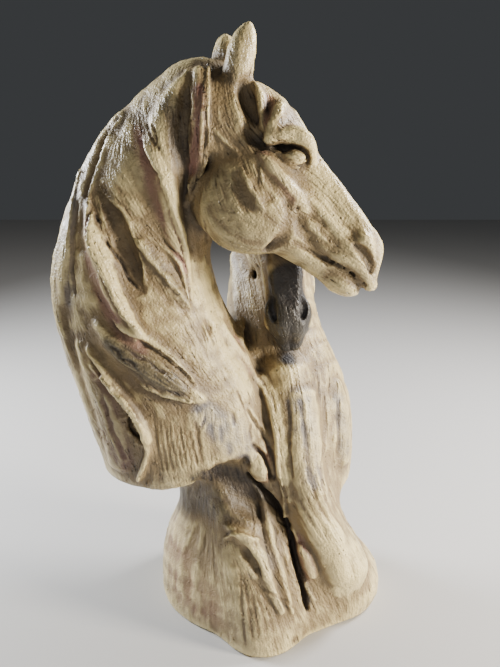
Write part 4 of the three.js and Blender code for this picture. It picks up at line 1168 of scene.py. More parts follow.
@dataclass
class Tinting:
    """Where the clay is tinted, and where shade and highlights are painted on: how strongly, and a line with
    half widths in the picture.
    """

    rose: tuple = (
        (1, ((197, 90, 7), (196, 130, 7), (192, 170, 6))),
        (1, ((136, 130, 6), (148, 170, 8), (160, 205, 8), (176, 240, 7), (184, 270, 5))),
        (1, ((84, 222, 5), (90, 262, 6), (104, 300, 8), (122, 330, 8), (140, 350, 8))),
        (0.9, ((98, 380, 10), (108, 420, 14), (118, 460, 14))),
        (0.8, ((262, 455, 10), (262, 478, 9))),
        (0.9, ((296, 540, 8), (306, 575, 9))),
        (0.55, ((172, 530, 16), (178, 575, 24), (200, 605, 24))),
        (0.8, ((236, 340, 6), (250, 368, 7))),
        (0.6, ((262, 152, 6), (276, 172, 6), (294, 198, 6))),
        (0.7, ((268, 98, 6), (270, 110, 6), (266, 124, 4))),
    )
    blue: tuple = (
        (0.9, ((204, 412, 12), (236, 440, 16), (250, 455, 9))),
        (0.9, ((300, 400, 12), (308, 440, 14), (314, 480, 10))),
        (0.8, ((340, 400, 8), (346, 450, 8))),
        (0.35, ((150, 90, 14), (172, 78, 12), (120, 120, 10))),
        (0.6, ((72, 200, 8), (66, 250, 8), (70, 300, 8))),
        (0.5, ((262, 520, 12), (272, 560, 12))),
    )
    # the back horse's muzzle
    charcoal: tuple = (
        (1, ((290, 290, 24), (290, 315, 26), (290, 335, 20))),
        (1, ((283, 340, 16), (290, 346, 18), (297, 340, 16))),
    )
    # painted highlights on the faces that the key light catches: the nose, the long lock, the neck and chest,
    # the valley below the sheaf, the foot and the pad, in the colour that is dry-brushed over what stands
    # proud
    cream_and_highlight: tuple = (
        (0.9, ((265, 382, 12), (272, 410, 9), (280, 440, 7), (286, 480, 6))),
        (0.9, ((92, 362, 6), (110, 376, 7), (124, 390, 7), (142, 412, 6), (150, 440, 4))),
        (1, ((158, 160, 7), (170, 196, 10), (181, 232, 9), (191, 264, 7), (197, 298, 8))),
        (0.8, ((205, 270, 9), (212, 305, 12), (226, 345, 12), (246, 382, 12))),
        (0.8, ((98, 228, 6), (108, 262, 7), (122, 298, 7), (138, 334, 6))),
        (1, ((288, 128, 5), (300, 150, 10), (322, 185, 12), (340, 225, 12))),
        (0.6, ((322, 530, 14), (345, 560, 20), (350, 590, 18))),
        (0.6, ((258, 455, 7), (256, 475, 6))),
        (0.6, ((158, 128, 5), (160, 150, 5))),
    )
    # where the clay was wiped smooth
    smooth: tuple = (
        (1, ((180, 515, 30), (176, 560, 40), (186, 600, 40), (214, 628, 30))),
        (0.8, ((100, 360, 10), (124, 388, 9), (146, 420, 7))),
        (0.7, ((110, 212, 8), (122, 244, 9), (133, 276, 7))),
        (0.7, ((150, 258, 8), (166, 278, 9), (180, 296, 7))),
        (0.6, ((224, 400, 18), (240, 436, 20))),
        (0.6, ((325, 560, 20), (345, 585, 22))),
        (0.9, ((160, 86, 16), (134, 106, 16), (108, 138, 14), (88, 180, 14), (74, 230, 14))),
    )
    # painted shade: dark umber laid over the recess under the hem, the cleft, the waist, the cheek, the jaw,
    # the ear, the poll, the eye socket and the undersides of the mane
    painted_shade: tuple = (
        (1, ((262, 488, 5), (277, 505, 8), (290, 527, 9), (297, 555, 9), (306, 600, 6))),
        (1, ((196, 478, 7), (220, 472, 12), (245, 486, 15), (264, 494, 9))),
        (0.75, ((176, 500, 12), (212, 500, 20), (240, 510, 18))),
        (0.7, ((170, 104, 12), (176, 132, 12), (180, 160, 8))),
        (0.9, ((108, 344, 8), (130, 358, 12), (154, 374, 12), (180, 392, 8))),
        (0.5, ((100, 390, 14), (112, 430, 18), (120, 460, 14))),
        (0.25, ((340, 390, 12), (346, 440, 10), (344, 470, 8))),
        (0.6, ((195, 44, 12), (206, 66, 10), (222, 50, 10))),
        (0.5, ((243, 32, 8), (238, 56, 10), (230, 76, 9))),
        (0.45, ((120, 70, 16), (150, 66, 16), (180, 62, 10))),
        (0.2, ((247, 92, 6), (251, 107, 7), (256, 122, 6))),
        (0.45, ((148, 252, 8), (168, 280, 9), (186, 304, 6))),
        (0.2, ((184, 92, 5), (185, 140, 6), (187, 200, 3))),
        (0.45, ((276, 147, 4), (290, 151, 6), (303, 153, 4))),
        (0.3, ((289, 155, 5), (297, 156, 5))),
        (0.75, ((214, 258, 9), (218, 284, 9), (230, 262, 10))),
        (0.5, ((222, 244, 9), (262, 254, 9), (300, 266, 7))),
        (0.3, ((249, 140, 5), (260, 143, 6), (268, 143, 4))),
        (0.28, ((214, 190, 20), (232, 214, 24), (262, 228, 18))),
    )

    def lines(self, tint: Tint) -> tuple:
        """The lines of one tint."""
        return getattr(self, tint.value)


# The skin of the clay

def hangs_together(corners: list[int]) -> bool:
    """Whether some of a cell's corners, numbered by bits, are joined along its edges."""
    reached = corners[:1]
    for c in reached:
        reached += [c ^ bit for bit in (1, 2, 4) if c ^ bit in corners and c ^ bit not in reached]
    return len(reached) == len(corners)


def plain(signs: int) -> bool:
    """Whether the corners inside, given as bits of signs, hang together, and those outside too."""
    inside = [c for c in range(8) if signs >> c & 1]
    return hangs_together(inside) and hangs_together([c for c in range(8) if c not in inside])


PLAIN_CELLS = np.array([plain(signs) for signs in range(256)])


@dataclass
class Skin:
    """Traces the surface of a form on an even grid, one vertex in each cell that the surface crosses."""

    pitch: float
    low: tuple = (-190, -112, -7)
    high: tuple = (112, 130, 462)
    levels: int = 3

    def trace(self, form: Form) -> tuple[np.ndarray, np.ndarray, Lattice]:
        """Trace the form.

        Args:
            form: what to trace.

        Returns:
            Vertices, faces with four corners that point outwards, and the distances on the grid.
        """
        values = self.sampled(form)
        self.fill(values)
        n = np.array(values.shape)
        inside = values < 0
        strides = np.array([n[1] * n[2], n[2], 1])
        total = np.zeros((values.size, 3), np.float32)
        crossings = np.zeros(values.size, np.float32)
        quads = []
        for axis in range(3):
            u, v = (axis + 1) % 3, (axis + 2) % 3
            first = [slice(None)] * 3
            second = [slice(None)] * 3
            first[axis], second[axis] = slice(0, -1), slice(1, None)
            a_in, b_in = inside[tuple(first)], inside[tuple(second)]
            at = np.argwhere(a_in != b_in)
            at = at[(at[:, u] > 0) & (at[:, v] > 0)]
            i, j, k = at.T
            step = np.eye(3, dtype=int)
            a = values[i, j, k]
            b = values[i + step[axis, 0], j + step[axis, 1], k + step[axis, 2]]
            point = at.astype(np.float32)
            point[:, axis] += a / (a - b)
            cell = at @ strides
            corners = [cell - strides[u] - strides[v], cell - strides[v], cell, cell - strides[u]]
            for corner in corners:
                for c in range(3):
                    total[:, c] += np.bincount(corner, point[:, c], values.size).astype(np.float32)
                crossings += np.bincount(corner, minlength=values.size).astype(np.float32)
            quad = np.stack(corners, axis=-1)
            quads.append(np.where(a_in[i, j, k][:, None], quad, quad[:, ::-1]))
        used = np.flatnonzero(crossings)
        number = np.full(values.size, -1)
        number[used] = np.arange(len(used))
        vertices = total[used] / crossings[used, None] * self.pitch + np.array(self.low)
        return vertices, number[np.concatenate(quads)], Lattice(self.low, self.pitch, values)

    def sampled(self, form: Form) -> np.ndarray:
        """Distances on the grid, read between a coarser grid's points away from the surface."""
        low = np.array(self.low)
        step = 2 ** self.levels
        count = np.ceil((np.array(self.high) - low) / self.pitch / step).astype(int) + 1
        grid = grid_places(count)
        values = form.distance((low + grid * step * self.pitch).astype(np.float32)).reshape(count)
        while step > 1:
            reach = step * self.pitch * (1.1 if step > 2 else 0.9) + 0.6
            for axis in range(3):
                shape = [n * 2 - 1 if a == axis else n for a, n in enumerate(values.shape)]
                finer = np.zeros(shape, np.float32)
                here = [slice(None)] * 3
                here[axis] = slice(0, None, 2)
                finer[tuple(here)] = values
                between, first, second = here.copy(), [slice(None)] * 3, [slice(None)] * 3
                between[axis], first[axis], second[axis] = slice(1, None, 2), slice(0, -1), slice(1, None)
                finer[tuple(between)] = (values[tuple(first)] + values[tuple(second)]) / 2
                values = finer
            step //= 2
            at = np.argwhere(np.abs(values) < reach)
            i, j, k = at.T
            values[i, j, k] = form.distance((low + at * step * self.pitch).astype(np.float32))
            log.info("grid of %.1f mm: %d points near the surface", step * self.pitch, len(at))
        return values

    def fill(self, values: np.ndarray) -> None:
        """Fill the cells that the surface crosses in two places, so that one vertex in each is enough."""
        shape = np.array(values.shape)
        while True:
            signs = np.zeros(shape - 1, np.uint8)
            for c in range(8):
                i, j, k = c & 1, c >> 1 & 1, c >> 2
                corner = values[i:i + shape[0] - 1, j:j + shape[1] - 1, k:k + shape[2] - 1]
                signs |= (corner < 0).astype(np.uint8) << c
            mixed = np.argwhere(~PLAIN_CELLS[signs])
            if not len(mixed):
                return
            offsets = np.array([[c & 1, c >> 1 & 1, c >> 2] for c in range(8)])
            corners = mixed[:, None] + offsets
            held = values[corners[..., 0], corners[..., 1], corners[..., 2]]
            nearest = np.where(held >= 0, held, FAR).argmin(axis=1)
            i, j, k = corners[np.arange(len(mixed)), nearest].T
            values[i, j, k] = -0.05 * self.pitch


def outer_skin(vertices: np.ndarray, faces: np.ndarray) -> tuple[np.ndarray, np.ndarray]:
    """Leave out the pockets that are closed off inside the clay.

    Args:
        vertices: all vertices.
        faces: all faces.

    Returns:
        The vertices and faces of the largest body alone.
    """
    label = np.arange(len(vertices))
    while True:
        least = label[faces].min(axis=1)
        new = label.copy()
        np.minimum.at(new, faces.ravel(), np.repeat(least, faces.shape[1]))
        new = new[new]
        if (new == label).all():
            break
        label = new
    main = np.bincount(label[faces[:, 0]]).argmax()
    faces = faces[label[faces[:, 0]] == main]
    used = np.unique(faces)
    number = np.full(len(vertices), -1)
    number[used] = np.arange(len(used))
    return vertices[used], number[faces]


@dataclass
class Flow:
    """The direction in which the comb and the fingers went, at every place."""

    pitch: float = 8.0
    reach: float = 13.0
    # a head's middle, half size and soft edge, along, out and aside
    head_box: tuple = ((90, 75, 8), (-15, 45, 8), (0, 40, 6))

    def lattice(self, paths: list[Path], horses: Horses, surface: Lattice) -> Lattice:
        """Spread the directions of all strokes over the space around the surface.

        Args:
            paths: all draped strokes.
            horses: whose heads give the direction where no stroke is near.
            surface: distances to the surface.

        Returns:
            A grid of directions.
        """
        at = np.concatenate([p.at for p in paths]).astype(np.float32)
        along = np.concatenate([p.along for p in paths]).astype(np.float32)
        along *= np.where(along @ np.array([0.35, 0, -1]) < 0, -1, 1)[:, None]
        low = surface.low
        count = np.ceil((surface.count - 1) * surface.pitch / self.pitch).astype(int) + 1
        grid = grid_places(count)
        points = (low + grid * self.pitch).astype(np.float32)
        flow = np.tile(np.array([0.12, 0, -1.0], np.float32), (len(points), 1))
        for head in (horses.back, horses.front):
            own = (points - head.origin) @ head.axes.T / head.scale
            beyond = sum((np.maximum(np.abs(own[:, c] - middle) - half, 0) / soft) ** 2
                         for c, (middle, half, soft) in enumerate(self.head_box))
            inside = np.exp(-beyond)[:, None]
            flow = flow * (1 - inside) + head.along * inside
        flow *= 0.06
        near = np.flatnonzero(np.abs(surface.at(points)) < self.pitch * 2)
        for part in np.array_split(near, max(1, len(near) // 2000)):
            away = ((points[part, None] - at) ** 2).sum(axis=2)
            flow[part] += np.exp(-away / self.reach ** 2) @ along
        return Lattice(low, self.pitch, unit(flow).reshape(*count, 3))


class Relief:
    """Moves the vertices of a fine mesh in and out for marks, comb and thumb."""

    def __init__(self, vertices: np.ndarray, normals: np.ndarray) -> None:
        """Sort the vertices by height, so that a mark finds those near it quickly."""
        self.vertices = vertices
        self.normals = normals
        self.order = np.argsort(vertices[:, 2])
        self.levels = vertices[self.order, 2]
        self.unrest = Noise(11)

    def near(self, path: Path, reach: float,
             facing: float = 0.1) -> tuple[np.ndarray, np.ndarray, np.ndarray]:
        """Find the vertices near a line.

        Args:
            path: the line.
            reach: how far they may be from it.
            facing: how much they must face the way the line's surface faces, at 1 the same way.

        Returns:
            Their numbers, the number of the line's nearest place, and how far they are from it.
        """
        low, high = path.at.min(axis=0) - reach, path.at.max(axis=0) + reach
        found = self.order[np.searchsorted(self.levels, low[2]):np.searchsorted(self.levels, high[2])]
        v = self.vertices[found]
        found = found[((v > low) & (v < high)).all(axis=1)]
        nearest = np.zeros(len(found), int)
        away = np.zeros(len(found), np.float32)
        for part in np.array_split(np.arange(len(found)), len(found) // 4000 + 1):
            gaps = ((self.vertices[found[part], None] - path.at) ** 2).sum(axis=2)
            nearest[part] = gaps.argmin(axis=1)
            away[part] = np.sqrt(gaps.min(axis=1))
        kept = (away < reach) & (np.einsum("ij,ij->i", self.normals[found], path.normal[nearest]) > facing)
        return found[kept], nearest[kept], away[kept]

    def height(self, mark: Mark, path: Path) -> tuple[np.ndarray, np.ndarray]:
        """Work out one mark.

        Args:
            mark: the mark.
            path: its line on the surface.

        Returns:
            The vertices that it moves, and how far.
        """
        found, nearest, away = self.near(path, path.half.max() * 2.2 + 2)
        off = np.einsum("ij,ij->i", self.vertices[found] - path.at[nearest], path.aside[nearest])
        beside = np.sqrt(np.maximum(away * away - off * off, 0))
        off = np.where(beside > path.half[nearest], np.copysign(away, off), off)
        walked = np.concatenate([[0], np.cumsum(np.linalg.norm(np.diff(path.at, axis=0), axis=1))])
        ends = np.minimum(walked, walked[-1] - walked)[nearest] - beside
        fade = np.clip(ends / np.minimum(3 + path.half[nearest], walked[-1] * 0.4), 0, 1)
        wander = 0.3 * np.minimum(path.half[nearest], 2.5) * self.unrest.at(self.vertices[found] / 4.5)
        return found, mark.profile(off + wander, path.half[nearest]) * fade


class Statue:
    """The whole casting, traced from its clay, with its finish."""

    triangles = 196000
    # the box and pitch of the rough grid that strokes are laid on
    rough = (-190, -112, -8), (120, 135, 464), 4.0
    # seed, height, width and length of the comb's streaks, and seed, height and size of the lumps
    streaks = ((3, 0.2, 6.5, 24), (5, 0.22, 3.2, 11))
    lumps = ((7, 0.55, 17), (9, 0.3, 7), (13, 0.15, 3.4))
    # rounds of smoothing with the dent that counts as full after them, and how far off the clay is felt for
    dents = ((3, 0.25), (14, 0.9))
    feelers = (4, 9, 18)

    def __init__(self, pitch: float) -> None:
        """Set the pitch that the surface is traced on."""
        self.horses = Horses()
        self.hair = Hair()
        self.tool_marks = ToolMarks()
        self.tinting = Tinting()
        self.skin = Skin(pitch)

    def clay(self) -> tuple[Clay, list[Path]]:
        """Masses with everything laid on them, and the lines of what is laid."""
        bare = Clay(self.horses.strokes())
        lattice = Lattice.of(bare, *self.rough)
        laid = self.hair.all()
        strokes = [s for s in (one.stroke(lattice) for one in laid) if s]
        log.info("%d masses, %d laid strokes", len(bare.strokes), len(strokes))
        return Clay(bare.strokes + strokes), [one.path for one in laid if one.path]

    def build(self) -> bpy.types.Object:
        """Trace the clay into the statue's mesh.

        Returns:
            The statue in metres.
        """
        clay, paths = self.clay()
        vertices, faces, surface = self.skin.trace(clay)
        vertices, faces = outer_skin(vertices, faces)
        normals = surface.normals(vertices, self.skin.pitch)
        relief = Relief(vertices, normals)
        marks = [(m, Path.draped(m.points, m.view, surface, 12)) for m in self.tool_marks.all()]
        marks = [(m, p) for m, p in marks if p]
        flows = Flow().lattice(paths + [p for _, p in marks], self.horses, surface)
        moved = np.zeros(len(vertices), np.float32)
        for mark, path in marks:
            found, heights = relief.height(mark, path)
            moved[found] += heights
        flow = unit(flows.at(vertices))
        moved += sum(height * Noise(seed).streaks(vertices, flow, width, length)
                     for seed, height, width, length in self.streaks)
        moved += sum(height * Noise(seed).at(vertices / size) for seed, height, size in self.lumps)
        moved *= np.clip(vertices[:, 2] / 6, 0, 1)
        statue = self.mesh(vertices + normals * moved[:, None], faces)
        self.paint(statue.data, surface, flows)
        return statue

    def paint(self, mesh: bpy.types.Mesh, surface: Lattice, flows: Lattice) -> None:
        """Store what the finish reads at each vertex: the flow, how hollow it is, and the tints.

        Args:
            mesh: the statue's mesh.
            surface: distances to its clay.
            flows: directions of the comb.
        """
        count = len(mesh.vertices)
        at = np.empty(count * 3, np.float32)
        mesh.vertices.foreach_get("co", at)
        at = at.reshape(-1, 3) / MM
        normals = np.empty(count * 3, np.float32)
        mesh.vertices.foreach_get("normal", normals)
        normals = normals.reshape(-1, 3)
        edges = np.empty(len(mesh.edges) * 2, np.int32)
        mesh.edges.foreach_get("vertices", edges)
        first, second = edges.reshape(-1, 2).T
        both, other = np.concatenate([first, second]), np.concatenate([second, first])
        degree = np.maximum(np.bincount(both, minlength=count), 1)

        def smoothed(values: np.ndarray, rounds: int) -> np.ndarray:
            """Average each vertex with its neighbours, several times over."""
            for _ in range(rounds):
                sums = np.stack([np.bincount(both, v[other], count) for v in values.T], axis=-1)
                values = values * 0.4 + sums / degree[:, None] * 0.6
            return values

        dent = sum(np.einsum("ij,ij->i", smoothed(at, rounds) - at, normals) / full
                   for rounds, full in self.dents)
        closed = sum(np.clip(1 - surface.at(at + normals * r) / r, 0, 1) for r in self.feelers)
        closed = closed / len(self.feelers)
        hollow = np.clip(dent * 0.16 + closed * 0.85 - 0.1, -0.5, 1)
        hollow = smoothed(hollow[:, None], 1)[:, 0]
        flow = unit(flows.at(at))
        flow = unit(flow - normals * np.einsum("ij,ij->i", flow, normals)[:, None])
        self.store(mesh, "flow", flow)
        self.store(mesh, "hollow", hollow)
        skin = Relief(at, normals)
        # the tints include the painted shade and the painted highlights
        for tint in Tint:
            share = np.zeros(count)
            for strength, points in self.tinting.lines(tint):
                path = Path.draped(points, View.EYE, surface, 6)
                if path is None:
                    continue
                found, nearest, away = skin.near(path, path.half.max() * 1.6, -0.6)
                near = np.clip(1.5 - away / path.half[nearest], 0, 1)
                share[found] = np.maximum(share[found], strength * near * near * (3 - 2 * near))
            self.store(mesh, tint.value, share)

    def store(self, mesh: bpy.types.Mesh, name: str, values: np.ndarray) -> None:
        """Keep values, or vectors, at the vertices under a name."""
        vector = values.ndim > 1
        attribute = mesh.attributes.new(name, "FLOAT_VECTOR" if vector else "FLOAT", "POINT")
        attribute.data.foreach_set("vector" if vector else "value", values.astype(np.float32).ravel())

    def mesh(self, vertices: np.ndarray, faces: np.ndarray) -> bpy.types.Object:
        """Make the mesh in metres and thin it where it is flat.

        Args:
            vertices: places in millimetres.
            faces: four corners each.

        Returns:
            The object.
        """
        mesh = bpy.data.meshes.new("clay_statue")
        mesh.vertices.add(len(vertices))
        mesh.vertices.foreach_set("co", (vertices * MM).astype(np.float32).ravel())
        mesh.loops.add(faces.size)
        mesh.loops.foreach_set("vertex_index", faces.ravel().astype(np.int32))
        mesh.polygons.add(len(faces))
        mesh.polygons.foreach_set("loop_start", np.arange(0, faces.size, faces.shape[1], dtype=np.int32))
        mesh.polygons.foreach_set("loop_total", np.full(len(faces), faces.shape[1], np.int32))
        mesh.polygons.foreach_set("use_smooth", np.ones(len(faces), bool))
        mesh.update(calc_edges=True)
        statue = bpy.data.objects.new("clay_statue", mesh)
        bpy.context.scene.collection.objects.link(statue)
        thin = statue.modifiers.new("thin", "DECIMATE")
        thin.ratio = min(1.0, self.triangles / (2 * len(faces)))
        thinned = bpy.data.meshes.new_from_object(statue.evaluated_get(bpy.context.evaluated_depsgraph_get()))
        statue.modifiers.clear()
        statue.data = thinned
        return statue


@dataclass
class Crumbs:
    """Crumbs of clay that were left on the surface, scattered with nodes.

    Sizes are metres, density is crumbs to a square metre.
    """

    density: float = 3200
    least: float = 0.0004
    greatest: float = 0.0011
    seed: int = 4

    def tree(self, material: bpy.types.Material) -> bpy.types.NodeTree:
        """Build the tree that scatters them.

        Args:
            material: their finish.

        Returns:
            The tree, with its sizes as named inputs.
        """
        tree = bpy.data.node_groups.new("crumbs", "GeometryNodeTree")
        face = tree.interface.new_socket
        face("Geometry", in_out="INPUT", socket_type="NodeSocketGeometry")
        face("Geometry", in_out="OUTPUT", socket_type="NodeSocketGeometry")
        for name in ("Density", "Least", "Greatest"):
            face(name, in_out="INPUT", socket_type="NodeSocketFloat")
        face("Seed", in_out="INPUT", socket_type="NodeSocketInt")
        make = {name: tree.nodes.new(kind) for name, kind in (
            ("given", "NodeGroupInput"), ("points", "GeometryNodeDistributePointsOnFaces"),
            ("ball", "GeometryNodeMeshIcoSphere"), ("size", "FunctionNodeRandomValue"),
            ("shape", "FunctionNodeRandomValue"), ("scale", "ShaderNodeVectorMath"),
            ("place", "GeometryNodeInstanceOnPoints"), ("real", "GeometryNodeRealizeInstances"),
            ("finish", "GeometryNodeSetMaterial"), ("made", "NodeGroupOutput"))}
        make["ball"].inputs["Radius"].default_value = 1.0
        make["ball"].inputs["Subdivisions"].default_value = 2
        make["shape"].data_type = "FLOAT_VECTOR"
        make["shape"].inputs[0].default_value = (0.6, 0.6, 0.35)
        make["shape"].inputs[1].default_value = (1.3, 1.3, 0.7)
        make["scale"].operation = "MULTIPLY"
        make["finish"].inputs["Material"].default_value = material
        for source, out, target, into in (
                ("given", "Geometry", "points", "Mesh"), ("given", "Density", "points", "Density"),
                ("given", "Seed", "points", "Seed"), ("given", "Least", "size", "Min"),
                ("given", "Greatest", "size", "Max"), ("given", "Seed", "size", "Seed"),
                ("given", "Seed", "shape", "Seed"), ("points", "Points", "place", "Points"),
                ("points", "Rotation", "place", "Rotation"), ("ball", "Mesh", "place", "Instance"),
                ("place", "Instances", "real", "Geometry"), ("real", "Geometry", "finish", "Geometry"),
                ("finish", "Geometry", "made", "Geometry")):
            sockets = [k for k in make[target].inputs if k.name == into and k.enabled]
            outs = [k for k in make[source].outputs if k.name == out and k.enabled]
            tree.links.new(outs[0], sockets[0])
        tree.links.new(next(k for k in make["size"].outputs if k.enabled), make["scale"].inputs[0])
        tree.links.new(next(k for k in make["shape"].outputs if k.enabled), make["scale"].inputs[1])
        tree.links.new(make["scale"].outputs[0], make["place"].inputs["Scale"])
        return tree

    def build(self, statue: bpy.types.Object, material: bpy.types.Material) -> bpy.types.Object:
        """Scatter them over the statue.

        Args:
            statue: what they lie on.
            material: their finish.

        Returns:
            All crumbs as one plain mesh.
        """
        base = bpy.data.objects.new("crumb_base", statue.data.copy())
        bpy.context.scene.collection.objects.link(base)
        scatter = base.modifiers.new("scatter", "NODES")
        scatter.node_group = self.tree(material)
        values = {"Density": self.density, "Least": self.least, "Greatest": self.greatest, "Seed": self.seed}
        for item in scatter.node_group.interface.items_tree:
            if item.in_out == "INPUT" and item.name in values:
                scatter[item.identifier] = values[item.name]
        mesh = bpy.data.meshes.new_from_object(base.evaluated_get(bpy.context.evaluated_depsgraph_get()))
        base.modifiers.clear()
        bpy.data.objects.remove(base)
        mesh.name = "crumbs"
        crumbs = bpy.data.objects.new("crumbs", mesh)
        bpy.context.scene.collection.objects.link(crumbs)
        return crumbs


class Nodes:
    """Builds a node tree in few words. A value is a number, a colour or the output of another node."""

    def __init__(self, material: bpy.types.Material) -> None:
        """Take over a material's tree."""
        self.tree = material.node_tree

    def node(self, kind: str, inputs: dict, **settings: object) -> bpy.types.Node:
        """Add a node.

        Args:
            kind: its type without the ShaderNode in front.
            inputs: what goes into its sockets, by name or number.
            settings: its properties.

        Returns:
            The node.
        """
        node = self.tree.nodes.new("ShaderNode" + kind)
        for name, value in settings.items():
            setattr(node, name, value)
        for name, value in inputs.items():
            if isinstance(value, bpy.types.NodeSocket):
                self.tree.links.new(value, node.inputs[name])
            else:
                node.inputs[name].default_value = value
        return node

    def math(self, operation: str, *values: object) -> bpy.types.NodeSocket:
        """Reckon with up to three values."""
        return self.node("Math", dict(enumerate(values)), operation=operation).outputs[0]

    def add(self, a: object, b: object) -> bpy.types.NodeSocket:
        """The sum of two values."""
        return self.math("ADD", a, b)

    def less(self, a: object, b: object) -> bpy.types.NodeSocket:
        """One value less another."""
        return self.math("SUBTRACT", a, b)

    def times(self, a: object, b: object) -> bpy.types.NodeSocket:
        """The product of two values."""
        return self.math("MULTIPLY", a, b)

    def attribute(self, name: str, vector: bool = False) -> bpy.types.NodeSocket:
        """Read an attribute of the mesh."""
        return self.node("Attribute", {}, attribute_name=name).outputs["Vector" if vector else "Fac"]

    def noise(self, at: bpy.types.NodeSocket, scale: float, detail: float = 0) -> bpy.types.NodeSocket:
        """Smooth noise from 0 to 1."""
        return self.node("TexNoise", {"Vector": at, "Scale": scale, "Detail": detail}).outputs["Fac"]

    def ramp(self, value: bpy.types.NodeSocket, low: float, high: float) -> bpy.types.NodeSocket:
        """Rise from 0 at low to 1 at high, or fall where low is the greater."""
        inputs = {"Value": value, "From Min": low, "From Max": high}
        return self.node("MapRange", inputs, interpolation_type="SMOOTHSTEP").outputs[0]

    def mix(self, share: object, first: object, second: object) -> bpy.types.NodeSocket:
        """Blend two colours."""
        return self.node("Mix", {0: share, 6: first, 7: second}, data_type="RGBA").outputs[2]

    def streaks(self, at: bpy.types.NodeSocket, flow: bpy.types.NodeSocket, scale: float, length: float,
                count: int = 9) -> bpy.types.NodeSocket:
        """Noise drawn out along a flow, about -1 to 1.

        Args:
            at: the place.
            flow: direction of the streaks.
            scale: how many to a metre.
            length: their length in metres.
            count: how many samples are averaged.

        Returns:
            The value.
        """
        at, flow = (self.node("VectorRotate", {"Vector": it, "Rotation": (0.9, 0.6, 0.3)},
                              rotation_type="EULER_XYZ").outputs[0] for it in (at, flow))
        total: object = 0.0
        for i in range(count):
            step = (i / (count - 1) - 0.5) * length
            place = self.node("VectorMath", {0: flow, 1: (step, step, step), 2: at}, operation="MULTIPLY_ADD")
            total = self.math("ADD", total, self.noise(place.outputs[0], scale))
        return self.math("MULTIPLY", self.math("SUBTRACT", total, count * 0.5), 6.5 / count)


@dataclass(frozen=True)
class Grain:
    """The patterns that the patina's colour, relief and gloss are worked out from."""

    fine: bpy.types.NodeSocket
    broad: bpy.types.NodeSocket
    rough: bpy.types.NodeSocket
    mottle: bpy.types.NodeSocket
    scratch: bpy.types.NodeSocket
    pit: bpy.types.NodeSocket
    hollow: bpy.types.NodeSocket
    rubbed_and_highlit: bpy.types.NodeSocket


